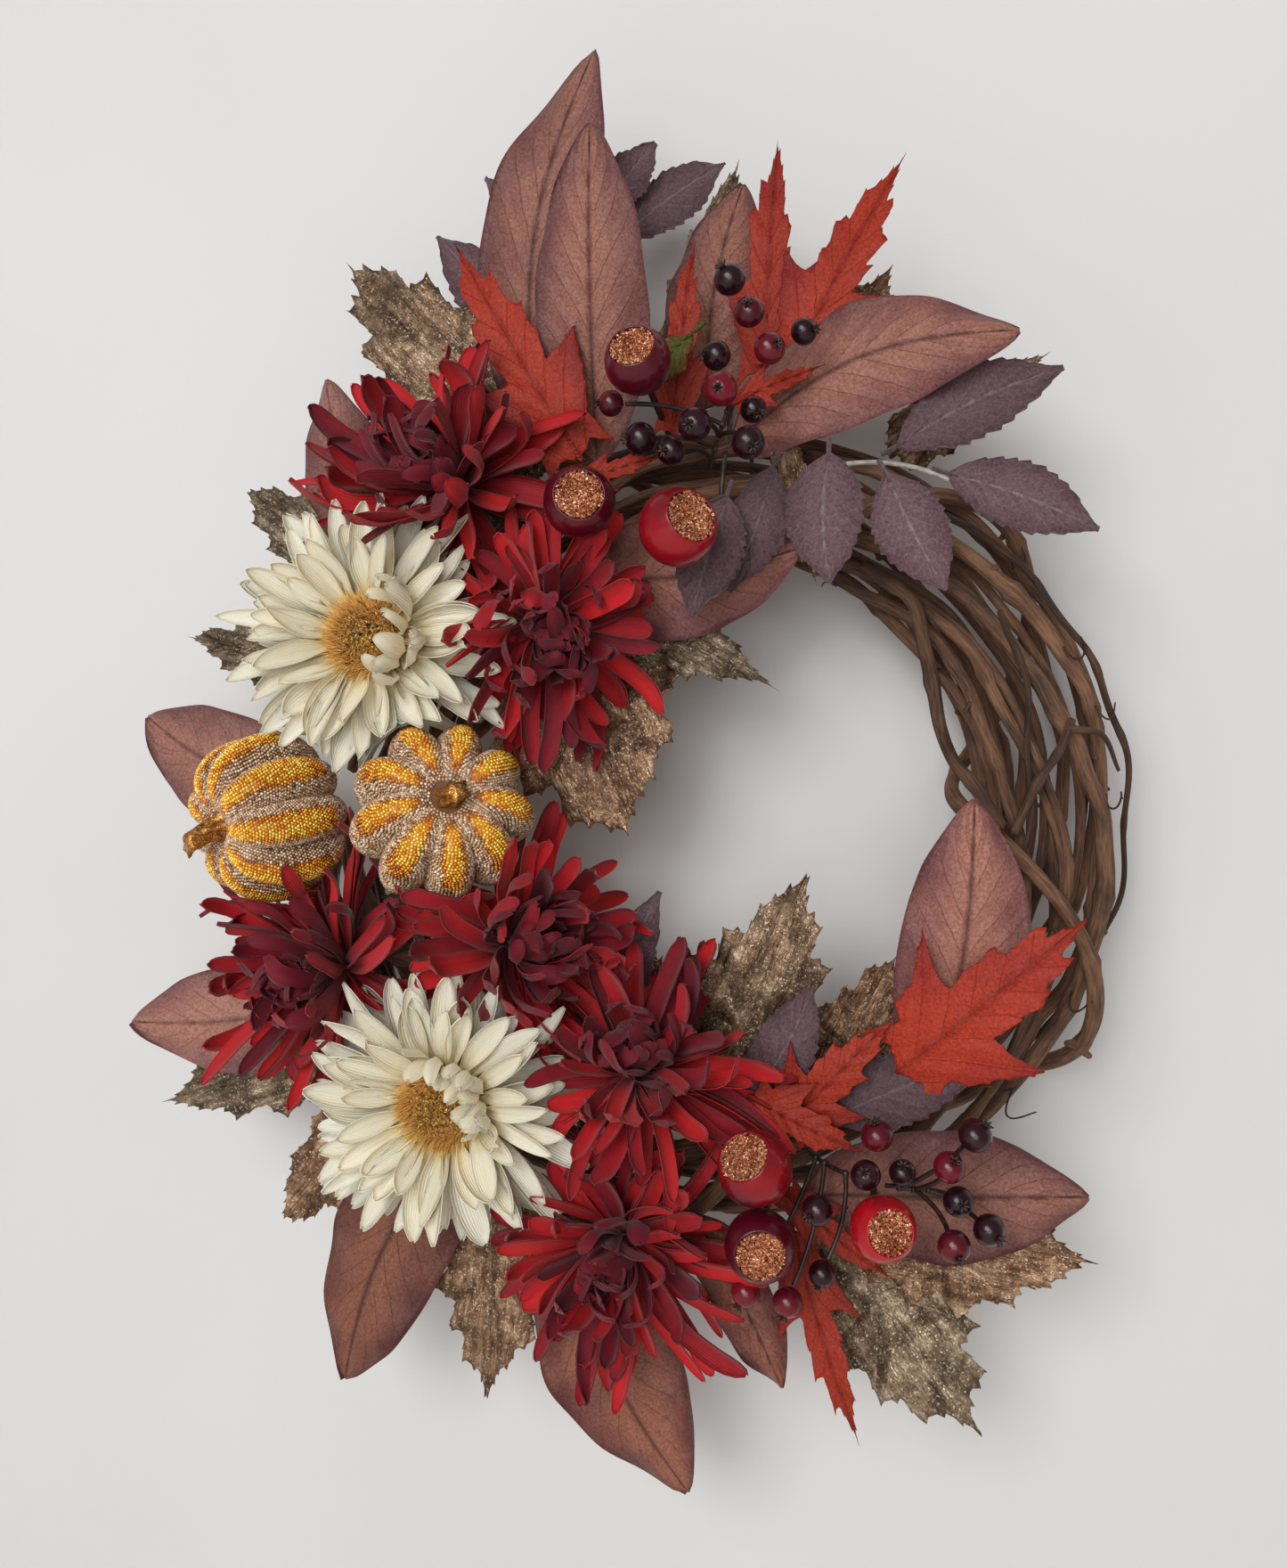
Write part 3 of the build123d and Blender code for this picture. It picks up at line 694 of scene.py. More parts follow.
# Amber from orange-brown to bright yellow, the yellow partly a painted highlight on the ribs' crowns.
GOLD_BEADS = beads("amber_beads", ((0.24, (132, 74, 34)), (0.42, (194, 104, 14)),
                   (0.64, (242, 162, 10)), (0.88, (255, 230, 96))), 0.9, 0.25, 0.14)
CLEAR_BEADS = beads("clear_beads", ((0.05, (116, 80, 52)), (0.30, (180, 138, 100)),
                    (0.62, (220, 184, 146)), (0.95, (255, 246, 226))), 0.9, 0.2, 0.14)


def pumpkin_skin():
    """Painted body under the beads: amber on the ribs, mauve-brown in the grooves, kept darker than the
    beads as painted shade in the gaps between them.
    """
    looks = Looks("pumpkin_skin", roughness=0.45, coat=0.3)
    glow = looks.paint()[3]
    blotch = looks.noise(looks.here(), 160, 3)
    shade = looks.plus(glow, looks.about_zero(blotch, 0.4))
    looks.colour(looks.ramp(shade, (0.15, (112, 80, 58)), (0.45, (150, 76, 18)), (0.9, (214, 134, 12))))
    looks.bump(blotch, 0.2, 0.0005)
    return looks.material


SKIN = pumpkin_skin()


# --- grapevine --------------------------------------------------------------
def villarceau(shell, phase, turns):
    """Places on a circle that goes once round the bundle in one turn of the ring."""
    radius = sqrt(RING_RADIUS**2 + shell**2)
    aside = np.array((cos(phase), 0, sin(phase)))
    across = np.array((-sin(phase), 0, cos(phase)))
    tilt = asin(shell / radius)
    normal = np.array((0, 1.0, 0)) * cos(tilt) + across * sin(tilt)
    left = np.array((-1.0, 0, 0))
    first = unit(left - normal * (left @ normal))
    second = np.cross(normal, first)
    ring = np.cos(turns)[:, None] * first + np.sin(turns)[:, None] * second
    return CENTRE + aside * shell + ring * radius


def knotted(path, diameter, spacing=0.062, swell=0.34, taper=0.0):
    """Radii along a vine, with a swollen node every so often."""
    run = run_of(path)
    radii = np.full(len(path), diameter / 2)
    place = dice.uniform(0.01, spacing)
    while place < run[-1]:
        radii *= 1 + swell * dice.uniform(0.5, 1.1) * np.exp(-(((run - place) / 0.0032) ** 2))
        place += spacing * dice.uniform(0.65, 1.35)
    radii *= 1 + 0.08 * np.sin(run / 0.019 + dice.uniform(0, 6))
    return radii * (1 - taper * run / run[-1])


def wandering(path, amount, wavelength=0.085):
    """A path nudged sideways by smooth random amounts."""
    moves = np.stack([Ripples(wavelength).at(path) for _ in range(3)], axis=-1)
    return path + moves * amount


def stub(heap, path, radii, index, tone):
    """Short broken side shoot at a knot."""
    way = unit(path[index + 1] - path[index - 1])
    turn = dice.uniform(0, 2 * pi)
    out = unit(circle(*frame_about(way), turn) + way * dice.uniform(-0.7, 0.7))
    reach = radii[index] + dice.uniform(0.0015, 0.0050)
    t = np.linspace(0, 1, 6)[:, None]
    line = path[index] + out * reach * t + way * 0.0012 * t**2
    tube(heap, line, np.linspace(radii[index] * 0.62, radii[index] * 0.34, 6), 7, tone, rough=0.12)


def strand(heap, path, diameter, tone, spacing=0.062, stubs=5):
    """One vine: its knotted tube and a few stubs."""
    radii = knotted(path, diameter, spacing)
    tube(heap, path, radii, 10, tone, rough=0.10)
    for _ in range(stubs):
        index = int(dice.integers(4, len(path) - 4))
        stub(heap, path, radii, index, tone)


VINE_POINTS = 260
VINE_SPAN = (2, 348)         # degrees of its circle that a vine covers
THIN_VINES = 3
BINDER_POINTS = 620
BINDER_SPAN = 358
BINDER_STUBS = 16
BINDER_TONE = 0.8
# Where the binding vine bulges away from the bundle, in degrees round the ring:
# the middle and the width of each bulge.
BULGES = ((12, 9), (-27, 8))
BULGE = 0.0050


def grapevine():
    """The vines that make up the ring: ten outside, five within, and three thin ones."""
    turns = np.radians(np.linspace(*VINE_SPAN, VINE_POINTS))
    for number in range(OUTER_VINES):
        heap = Heap()
        diameter = VINE_DIAMETERS[number % len(VINE_DIAMETERS)]
        path = villarceau(OUTER_SHELL, number * 2 * pi / OUTER_VINES, turns)
        path = wandering(path, 0.0022, 0.11)
        path = wandering(path, 0.0007, 0.035)
        strand(heap, path, diameter * dice.uniform(0.9, 1.08), dice.uniform(0.3, 0.9))
        label = f"vine_{number + 1:02d}"
        heap.piece(f"{label}_bark", BARK, "vine_bark", (label,))
    heap = Heap()
    for shell, count in CORE_SHELLS:
        for number in range(count):
            path = villarceau(shell, number * 2 * pi / count + radians(18), turns[::2])
            path = wandering(path, 0.0018, 0.09)
            strand(heap, path, dice.uniform(0.0032, 0.0048), dice.uniform(0.1, 0.6), 0.05, 2)
    heap.piece("core_vines_bark", BARK, "vine_bark", ("core_vines",))
    heap = Heap()
    for number in range(THIN_VINES):
        path = villarceau(OUTER_SHELL, (number + 0.4) * 2 * pi / THIN_VINES, turns)
        path = wandering(path, 0.0020, 0.08)
        strand(heap, path, dice.uniform(0.0026, 0.0036), dice.uniform(0.2, 0.8), 0.04, 6)
    heap.piece("thin_vines_bark", BARK, "vine_bark")


def winding(start, stop, twist, round_start, shell, count):
    """A strand on a shell of the bundle, from one ring angle to another."""
    angles = np.linspace(start, stop, count)
    rounds = round_start + twist * (angles - start)
    return np.array([seat(a, r, shell) for a, r in zip(angles, rounds)])


def binder():
    """The vine wound round the bundle, standing off it in two places."""
    heap = Heap()
    share = np.linspace(0, BINDER_SPAN / 360, BINDER_POINTS)
    angles = BINDER_PHASE - 360 * share
    away = sum(np.exp(-(((angles - middle) / width) ** 2)) * BULGE for middle, width in BULGES)
    path = np.array([seat(a, 180 - 360 * BINDER_TURNS * s, BINDER_SHELL + more)
                     for a, s, more in zip(angles, share, away)])
    path = wandering(path, 0.0010, 0.1)
    radii = knotted(path, BINDER_DIAMETER)
    tube(heap, path, radii, 12, BINDER_TONE, rough=0.08)
    for _ in range(BINDER_STUBS):
        stub(heap, path, radii, int(dice.integers(4, BINDER_POINTS - 4)), BINDER_TONE)
    heap.piece("binding_vine_bark", BARK, "vine_bark", ("binding_vine",))


# Slim windings: ring angles where each starts and stops, its twist, the side of
# the bundle where it starts, and its diameter.
WINDINGS = ((58, -38, 1.2, 60, 0.00312), (40, -44, -0.8, 80, 0.00260))
# The strand inside the ring, and the side shoot on its front, as places.
LOOP = ((62, 0.124, 0.020), (51, 0.125, 0.024), (43, 0.117, 0.020), (34, 0.110, 0.014),
        (26, 0.106, 0.014), (18, 0.107, 0.024), (12, 0.113, 0.033), (4, 0.122, 0.035))
FORK = ((20, 66, 0.030), (16, 82, 0.0335), (11, 100, 0.0335), (3, 118, 0.031))
# Curls: ring angle, side of the bundle, reach in mm and number of loops.
CURLS = ((44, 24, 8.0, 1.3), (29, 30, 11.0, 1.6), (20, 20, 9.0, 1.2), (-36, 20, 14.0, 1.1),
         (66, 160, 8.0, 1.4), (36, 160, 9.0, 1.2), (-20, 24, 10.0, 1.3), (8, 30, 9.0, 1.5))


def tendrils():
    """Thin shoots and curls on the bare part of the ring."""
    heap = Heap()
    for start, stop, twist, round_start, diameter in WINDINGS:
        path = winding(start, stop, twist, round_start, BINDER_SHELL - 0.0015, 120)
        path = wandering(path, 0.0018, 0.05)
        tube(heap, path, knotted(path, diameter, 0.045, 0.3, 0.35), 8, 0.3)
    loop = smooth_path([spot(*place) for place in LOOP], 90)
    tube(heap, loop, knotted(loop, 0.0056, 0.04, 0.3), 10, 0.9)
    fork = smooth_path([seat(*place) for place in FORK], 40)
    tube(heap, fork, knotted(fork, 0.0036, 0.02, 0.4, 0.2), 8, 0.9)
    branch = smooth_path((fork[4], seat(17, 48, 0.033), seat(12, 30, 0.031)), 20)
    tube(heap, branch, np.linspace(0.0016, 0.0007, 20), 8, 0.9)
    for angle, round_angle, reach, loops in CURLS:
        base = seat(angle, round_angle, 0.024)
        outward = unit(base - spot(angle, BUNDLE_RADIUS, 0))
        side, other = frame_about(outward)
        t = np.linspace(0, 1, 60)[:, None]
        swing = 2 * pi * loops * t
        wide = reach * 0.00045 * (1 - 0.3 * t) * step(0, 0.35, t)
        path = (base + outward * (reach * 0.0011 * t)
                + side * (wide * np.cos(swing) - wide) + other * wide * np.sin(swing))
        tube(heap, path, np.linspace(0.0006, 0.00028, 60), 6, 0.3)
    heap.piece("vine_tendrils_bark", TENDRIL_BARK, "vine_bark", ("vine_tendrils",))


# --- leaves -----------------------------------------------------------------
ARCH = 0.07                  # how high a leaf arches, as a part of its length
BLADE_THICKNESS = 0.0007
LOBED_THICKNESS = 0.0006
PETIOLE_LENGTH = 0.009
EDGE_POINTS = 168            # round a lobed leaf, one saw tooth to every four
SERRATION = 0.035            # how far a tooth stands out, as a part of its distance
LOBED_RINGS = np.array((0.06, 0.18, 0.32, 0.46, 0.58, 0.7, 0.8, 0.88, 0.95, 1.0))


def leaf_frame(blade):
    """A leaf's base, the way it grows, its normal, its left, its length and width."""
    base, tip, normal, width = blade
    length = np.linalg.norm(tip - base)
    way = (tip - base) / length
    return base, way, normal, np.cross(normal, way), length, width


def petiole(heap, base, way, normal, tone):
    """Short stalk at a leaf's base."""
    path = np.array([base + way * s * PETIOLE_LENGTH + normal * (0.002 * s)
                     for s in np.linspace(-0.1, 1, 6)])
    tube(heap, path, np.linspace(0.0011, 0.0009, 6), 6, tone)


def oval_leaf(heap, blade, teeth=0, blunt=0.78, widest=1.0, cup=0.12, wave=0.0016, curl=0.0,
              lean=0.0, bend=0.04):
    """Long leaf: a folded, cupped and waved blade with a smooth or toothed edge."""
    base, way, normal, side, length, width = leaf_frame(blade)
    tone = dice.uniform(0.1, 1)
    petiole(heap, base, way, normal, tone)
    u = np.linspace(0, 1, 60 if teeth else 44)
    v = np.linspace(-1, 1, 15)
    half = np.sin(pi * u**widest) ** blunt * (width / 2)
    half = half * (1 - 0.25 * step(0.76, 1.0, u))
    if teeth:
        saw = np.mod(u * teeth, 1.0)
        half = half * (1 + 0.13 * (saw - 0.5) * step(0.02, 0.15, u))
    half = np.maximum(half, 0.0008)
    phases = dice.uniform(0, 2 * pi, 4)
    start = 0.006 / length
    along = start + (1 - start) * u
    sway = (lean + dice.uniform(-bend, bend)) * length * np.sin(pi * u)
    spread = v[None, :] * half[:, None]
    rise = ARCH * length * 4 * along * (1 - along) + curl * length * u**3
    fold = np.abs(v)[None, :] ** 1.4 * half[:, None] * cup
    ruffle = wave * np.sin(u[:, None] * 11 + phases[0] + v[None, :] * 1.2) * np.abs(v)[None, :] ** 1.5
    ruffle = ruffle + wave * 0.6 * np.sin(u[:, None] * 23 + phases[1]) * np.abs(v)[None, :] ** 2
    groove = -0.0006 * np.exp(-((v[None, :] * 6) ** 2))
    twist = dice.uniform(-0.25, 0.25) * u[:, None] * spread
    lift = rise[:, None] - fold + ruffle + groove + twist
    middle = (base + way * (along * length)[:, None, None] + side * (spread + sway[:, None])[:, :, None]
              + normal * lift[:, :, None])
    closed_sheet(heap, middle, BLADE_THICKNESS, u, v, tone, dice.uniform())


# Half outlines from tip to base: along the leaf, and away from its midrib as a
# part of its half width.
MAPLE_HALF = ((1.0, 0.0), (0.86, 0.13), (0.82, 0.26), (0.70, 0.27), (0.66, 0.45), (0.55, 0.36),
              (0.52, 0.42), (0.40, 0.34), (0.42, 0.66), (0.47, 1.0), (0.30, 0.72), (0.20, 0.62),
              (0.14, 0.44), (-0.02, 0.60), (0.04, 0.30), (0.0, 0.04))
GLITTER_HALF = ((1.0, 0.0), (0.90, 0.20), (0.84, 0.46), (0.73, 0.46), (0.70, 0.74), (0.58, 0.68),
                (0.50, 1.0), (0.40, 0.80), (0.30, 0.98), (0.22, 0.76), (0.12, 0.86), (0.06, 0.62),
                (0.0, 0.05))


def lobed_leaf(heap, blade, outline, heart, crinkle, cup, ridges=0.0):
    """Lobed leaf: rings from its heart out to a toothed outline."""
    base, way, normal, side, length, width = leaf_frame(blade)
    tone = dice.uniform(0.1, 1)
    petiole(heap, base, way, normal, tone)
    half = np.array(outline) * (length, width / 2)
    mirrored = half[::-1] * (1, -1)
    shape = np.vstack((half, mirrored))
    jitter = 1 + dice.uniform(-0.07, 0.07, len(shape))
    middle_point = np.array((heart * length, 0))
    shape = middle_point + (shape - middle_point) * jitter[:, None]
    closed = np.vstack((shape, shape[:1]))
    run = run_of(closed)
    count = EDGE_POINTS
    at = np.linspace(0, run[-1], count, endpoint=False)
    edge = np.stack((np.interp(at, run, closed[:, 0]), np.interp(at, run, closed[:, 1])), axis=-1)
    saw = np.where(np.arange(count) % 4 == 0, SERRATION, -SERRATION * 0.4)
    edge = middle_point + (edge - middle_point) * (1 + saw)[:, None]
    flat = middle_point + (edge - middle_point)[None] * LOBED_RINGS[:, None, None]
    x, y = flat[..., 0], flat[..., 1]
    share = np.clip(x / length, 0, 1)
    bend = Ripples(0.034)
    fine = Ripples(0.011)
    place = np.stack((x, y, np.zeros_like(x)), axis=-1).reshape(-1, 3)
    rough = bend.at(place).reshape(x.shape) * crinkle + fine.at(place).reshape(x.shape) * crinkle * 0.3
    turn = np.arctan2(y, x - heart * length)
    reach = np.hypot(x - heart * length, y)
    pleats = ridges * np.abs(np.sin(turn * 4.5)) * step(0, 0.3 * length, reach)
    lift = (ARCH * length * 4 * share * (1 - share) - np.abs(y) ** 1.3 * cup * 2.2
            + rough * (0.25 + 0.75 * LOBED_RINGS[:, None]) + pleats)
    points = base + way * x[..., None] + side * y[..., None] + normal * lift[..., None]
    hub = base + way * heart * length + normal * (ARCH * length * 4 * heart * (1 - heart))
    total = len(LOBED_RINGS) * count
    index = np.arange(total).reshape(len(LOBED_RINGS), count)
    nexts = np.roll(index, -1, axis=1)
    quads = np.stack((index[:-1], index[1:], nexts[1:], nexts[:-1]), axis=-1).reshape(-1, 4)
    fan = np.stack((index[0], nexts[0], np.full(count, total)), axis=-1)
    shell = total + 1
    rim = np.stack((index[-1], index[-1] + shell, nexts[-1] + shell, nexts[-1]), axis=-1)
    front = np.vstack((points.reshape(-1, 3), hub))
    back = front - normal * LOBED_THICKNESS
    values = np.empty((total + 1, 4))
    values[:total, 0] = share.ravel()
    widest = np.abs(edge[:, 1]).max()
    values[:total, 1] = (y.ravel() / widest + 1) / 2
    values[total, :2] = heart, 0.5
    values[:, 2] = tone
    values[:, 3] = dice.uniform()
    faces = (quads[:, ::-1], fan[:, ::-1], quads + shell, fan + shell, rim[:, ::-1])
    heap.add(np.vstack((front, back)), faces, np.vstack((values, values)))


# How far each magnolia leaf bows to its left, as a part of its length, in the
# order of the leaves' tips from the wreath's left to its right.
LEANS = {
    "magnolia_leaves_top": (0.08, 0.0, 0.03, -0.08, 0.09),
    "magnolia_leaves_left": (0.05, 0.05, 0.06),
    "magnolia_leaves_bottom": (-0.05, -0.04, 0.03),
    "magnolia_leaves_right": (-0.04, 0.0),
}
# By kind, apart from the two groups that have their own shade.
LEAF_MATERIALS = {
    "magnolia": MAGNOLIA, "purple": PURPLE, "green": GREEN, "maple": MAPLE, "glitter": CHAMPAGNE,
    "magnolia_leaves_left": ROSE_MAGNOLIA, "magnolia_leaves_bottom": BROWN_MAGNOLIA,
}


def foliage():
    """Every leaf, one piece for each group."""
    for label in NODES:
        if "_leaves" not in label:
            continue
        heap = Heap()
        blades = sorted(blades_of(label), key=lambda found: found[1][0])
        for index, blade in enumerate(blades):
            if label.startswith("magnolia"):
                oval_leaf(heap, blade, blunt=0.58, widest=0.92, cup=dice.uniform(0.06, 0.24),
                          wave=0.0026, curl=dice.uniform(-0.05, 0.05), lean=LEANS[label][index],
                          bend=0.01)
            elif label.startswith("purple"):
                oval_leaf(heap, blade, teeth=11, blunt=0.8, widest=0.86,
                          cup=dice.uniform(0.0, 0.18), wave=0.0012)
            elif label.startswith("green"):
                oval_leaf(heap, blade, teeth=8, blunt=0.7, cup=0.15, wave=0.002)
            elif label.startswith("maple"):
                lobed_leaf(heap, blade, MAPLE_HALF, heart=0.25, crinkle=0.0011,
                           cup=dice.uniform(0.06, 0.16))
            else:
                lobed_leaf(heap, blade, GLITTER_HALF, heart=0.38, crinkle=0.0022, cup=0.12,
                           ridges=0.0030)
        kind = label.split("_")[0]
        material = LEAF_MATERIALS.get(label) or LEAF_MATERIALS[kind]
        heap.piece(f"{label}_blades", material, f"{kind}_leaf", (label,))


# --- petals -----------------------------------------------------------------
PETAL_THICKNESS = 0.0005
# Balls that petals are pushed out of, as centre and radius; then the daisies'
# petals, which mum petals stop short of: the middle of their back, their axis,
# their radius, and the heights between which they lie.
OBSTACLES = []
SLABS = []
DAISY_SLAB = (0.043, 0.001, 0.020)
SHORTENING = 0.86            # of a petal that would pass through a daisy


def keep_clear():
    """Note the pumpkins and the daisies, for the petals round them."""
    for number in (1, 2):
        for points in solids_of(f"pumpkin_{number}_shell"):
            middle = (points.max(axis=0) + points.min(axis=0)) / 2
            girth = np.linalg.norm(points - middle, axis=1).max()
            OBSTACLES.append((middle, girth * 0.97))
        axis, back, _, _ = head_of(f"daisy_{number}_petals", f"daisy_{number}_stem")
        SLABS.append((back, axis, *DAISY_SLAB))


def pushed_out(points):
    """Points moved out of the pumpkins and hips that they would cut into."""
    for centre, radius in OBSTACLES:
        away = points - centre
        far = np.linalg.norm(away, axis=-1, keepdims=True)
        points = np.where(far < radius, centre + away / np.maximum(far, 1e-9) * radius, points)
    return points


def entering(line):
    """True where a petal's outer half would pass through a daisy's petals."""
    outer = line[len(line) // 3:]
    for centre, axis, radius, low, high in SLABS:
        away = outer - centre
        height = away @ axis
        reach = np.linalg.norm(away - np.outer(height, axis), axis=1)
        if ((reach < radius) & (height > low) & (height < high)).any():
            return True
    return False


def petal(heap, root, axis, turn, length, width, rise, curl, channel, tone, depth, sway,
          start=0.004, pointed=False, rows=13, hook=0.0, under=0.4):
    """Strap of silk that leaves a flower's heart at an angle and bends as it goes."""
    out = circle(*frame_about(axis), turn)
    across = np.cross(axis, out)
    u = 1 - (1 - np.linspace(0, 1, rows)) ** 1.4
    slope = rise + curl * u**1.4 + hook * step(0.6, 1.0, u)
    middle_slope = (slope[1:] + slope[:-1]) / 2
    for _ in range(5):
        pace = np.diff(u) * length
        radial = start + np.r_[0, np.cumsum(np.cos(middle_slope) * pace)]
        height = np.r_[0, np.cumsum(np.sin(middle_slope) * pace)]
        drift = sway * length * u**1.8
        line = root + out * radial[:, None] + axis * height[:, None] + across * drift[:, None]
        if pointed or not entering(line):
            break
        length = length * SHORTENING
    else:
        return
    normals = axis * np.cos(slope)[:, None] - out * np.sin(slope)[:, None]
    if pointed:
        ending = np.clip(1 - ((u - 0.5) / 0.5).clip(0) ** 2.5, 0, 1) ** 0.58
        half = (0.34 + 0.66 * step(0, 0.5, u)) * ending
    else:
        ending = np.clip(1 - ((u - 0.84) / 0.16).clip(0) ** 2, 0, 1) ** 0.5
        half = (0.58 + 0.42 * step(0, 0.45, u)) * ending
    half = np.maximum(half, 0.14) * width / 2
    v = np.linspace(-1, 1, 5)
    lifts = channel * width * (v[None, :] ** 2) * (1 - 0.55 * u[:, None])
    crease = -0.09 * width * np.exp(-((v[None, :] * 3) ** 2))
    wind = dice.uniform(-0.8, 0.8) * u[:, None] * half[:, None] * v[None, :]
    middle = (line[:, None, :] + across * (half[:, None] * v[None, :])[:, :, None]
              + normals[:, None, :] * (lifts + crease + wind)[:, :, None])
    middle = pushed_out(middle)
    closed_sheet(heap, middle, PETAL_THICKNESS, u, v, tone, depth, under)


# Whorls of a mum, outermost first: how many, length, rise and curl in degrees,
# how deep the colour is (deeper inwards, partly painted shade in the heart), and how far up the heart
# they start.
MUM_WHORLS = (
    (18, 0.049, -10, -28, 0.05, 0.003),
    (19, 0.051, 8, -20, 0.05, 0.005),
    (19, 0.048, 23, -8, 0.12, 0.007),
    (19, 0.044, 38, 4, 0.26, 0.009),
    (18, 0.038, 53, 24, 0.50, 0.011),
    (16, 0.031, 66, 52, 0.76, 0.012),
    (13, 0.024, 77, 80, 0.92, 0.012),
    (9, 0.017, 86, 95, 1.0, 0.012))
MUM_REACH = 0.034
# For each mum: the way its petals run longest, how far it spreads, and how wide
# its petals are; then the chance that a petal is the bright red rather than the deep one, the bright
# partly a painted highlight.
SPRAWLS = (
    ((-1, 0, 0), 1.12, 0.0090),
    ((0.4, 0, -1), 0.95, 0.0084),
    ((-1, 0, -0.1), 1.20, 0.0072),
    ((1, 0, 0.1), 1.12, 0.0074),
    ((0.5, 0, 0.7), 0.98, 0.0070),
    ((-0.3, 0, -1), 1.04, 0.0070))
BRIGHT_SHARE = 0.55


def mums():
    """Six red heads of loose whorls."""
    for number in range(1, 7):
        head = f"mum_{number}_petals"
        axis, back, radius, _ = head_of(head, f"mum_{number}_stem")
        side, other = frame_about(axis)
        longest, spread, strap = SPRAWLS[number - 1]
        sprawl = unit(np.array(longest, float))
        scale = spread * (0.78 + 0.26 * radius / MUM_REACH)
        heap = Heap()
        for count, length, rise, curl, depth, up in MUM_WHORLS:
            offset = dice.uniform(0, 2 * pi)
            for index in range(count):
                turn = offset + 2 * pi * (index + dice.uniform(-0.42, 0.42)) / count
                out = circle(side, other, turn)
                stretch = 1 + 0.20 * (out @ sprawl)
                reach = length * scale * stretch * dice.uniform(0.74, 1.12)
                # Bright petals are lightened, partly as a painted highlight; the others are deepened.
                bright = dice.uniform() < BRIGHT_SHARE
                shade = np.clip(depth + (-0.15 if bright else 0.38) + dice.normal(0, 0.1), 0, 1)
                petal(heap, back + axis * up, axis, turn, reach, strap * dice.uniform(0.80, 1.18),
                      rise=radians(rise + dice.uniform(-18, 18)),
                      curl=radians(curl + dice.uniform(-44, 44)),
                      channel=dice.uniform(0.10, 0.34), tone=dice.uniform(0.3, 1), depth=shade,
                      sway=dice.uniform(-0.4, 0.4), hook=dice.choice((0.0, 0.0, 0.6, 1.2)))
        heap.piece(f"{head}_silk", MUM_SILK, "mum_petal", (head,))


# Layers of a daisy, outermost first: how many, length, rise and curl in degrees,
# and how far up from the back they start.
DAISY_WHORLS = (
    (24, 0.044, -2, -20, 0.003), (24, 0.043, 8, -14, 0.0045), (24, 0.039, 19, -12, 0.006),
    (23, 0.035, 31, -12, 0.007), (20, 0.030, 44, -14, 0.008), (16, 0.025, 58, -16, 0.009))
INNERMOST = len(DAISY_WHORLS) - 1
# The side of each daisy whose inner petals fall over its disc, and how much more
# they bend for that, in degrees.
FALLEN_SIDES = (5, 45)
FALLEN_BEND = 84
DAISY_HEART = 0.0160         # how far from the axis a daisy's petals start
DISC_RISE = 0.006            # of a disc's foot above the daisy's back


def daisies():
    """Two cream heads, the innermost petals only on the side that falls over the disc."""
    for number in (1, 2):
        head = f"daisy_{number}_petals"
        axis, back, _, _ = head_of(head, f"daisy_{number}_stem")
        side, other = frame_about(axis)
        heap = Heap()
        for layer, (count, length, rise, curl, up) in enumerate(DAISY_WHORLS):
            offset = dice.uniform(0, 2 * pi)
            for index in range(count):
                turn = offset + 2 * pi * (index + dice.uniform(-0.36, 0.36)) / count
                over = cos(turn - radians(FALLEN_SIDES[number - 1])) > 0.45
                if layer == INNERMOST and not over:
                    continue
                bend = curl + dice.uniform(-24, 24)
                if over and layer >= INNERMOST - 1:
                    bend += FALLEN_BEND
                # Inner layers are painted a deeper, warmer cream: painted warm shade among the petals.
                petal(heap, back + axis * up, axis, turn, length * dice.uniform(0.80, 1.14),
                      dice.uniform(0.0068, 0.0108), rise=radians(rise + dice.uniform(-10, 10)),
                      curl=radians(bend), channel=dice.uniform(0.08, 0.42),
                      tone=dice.uniform(0.7, 1), depth=0.05 + 0.11 * layer,
                      sway=dice.uniform(-0.24, 0.24), start=DAISY_HEART, pointed=True, rows=11,
                      under=0.0)
        heap.piece(f"{head}_silk", DAISY_SILK, "daisy_petal", (head,))
        disc(number, axis, back + axis * DISC_RISE, side, other)


BRISTLES = 2600
BRISTLE_RADIUS = 0.00034
DISC_RADIUS = 0.0172
DISC_GRAINS = 1300


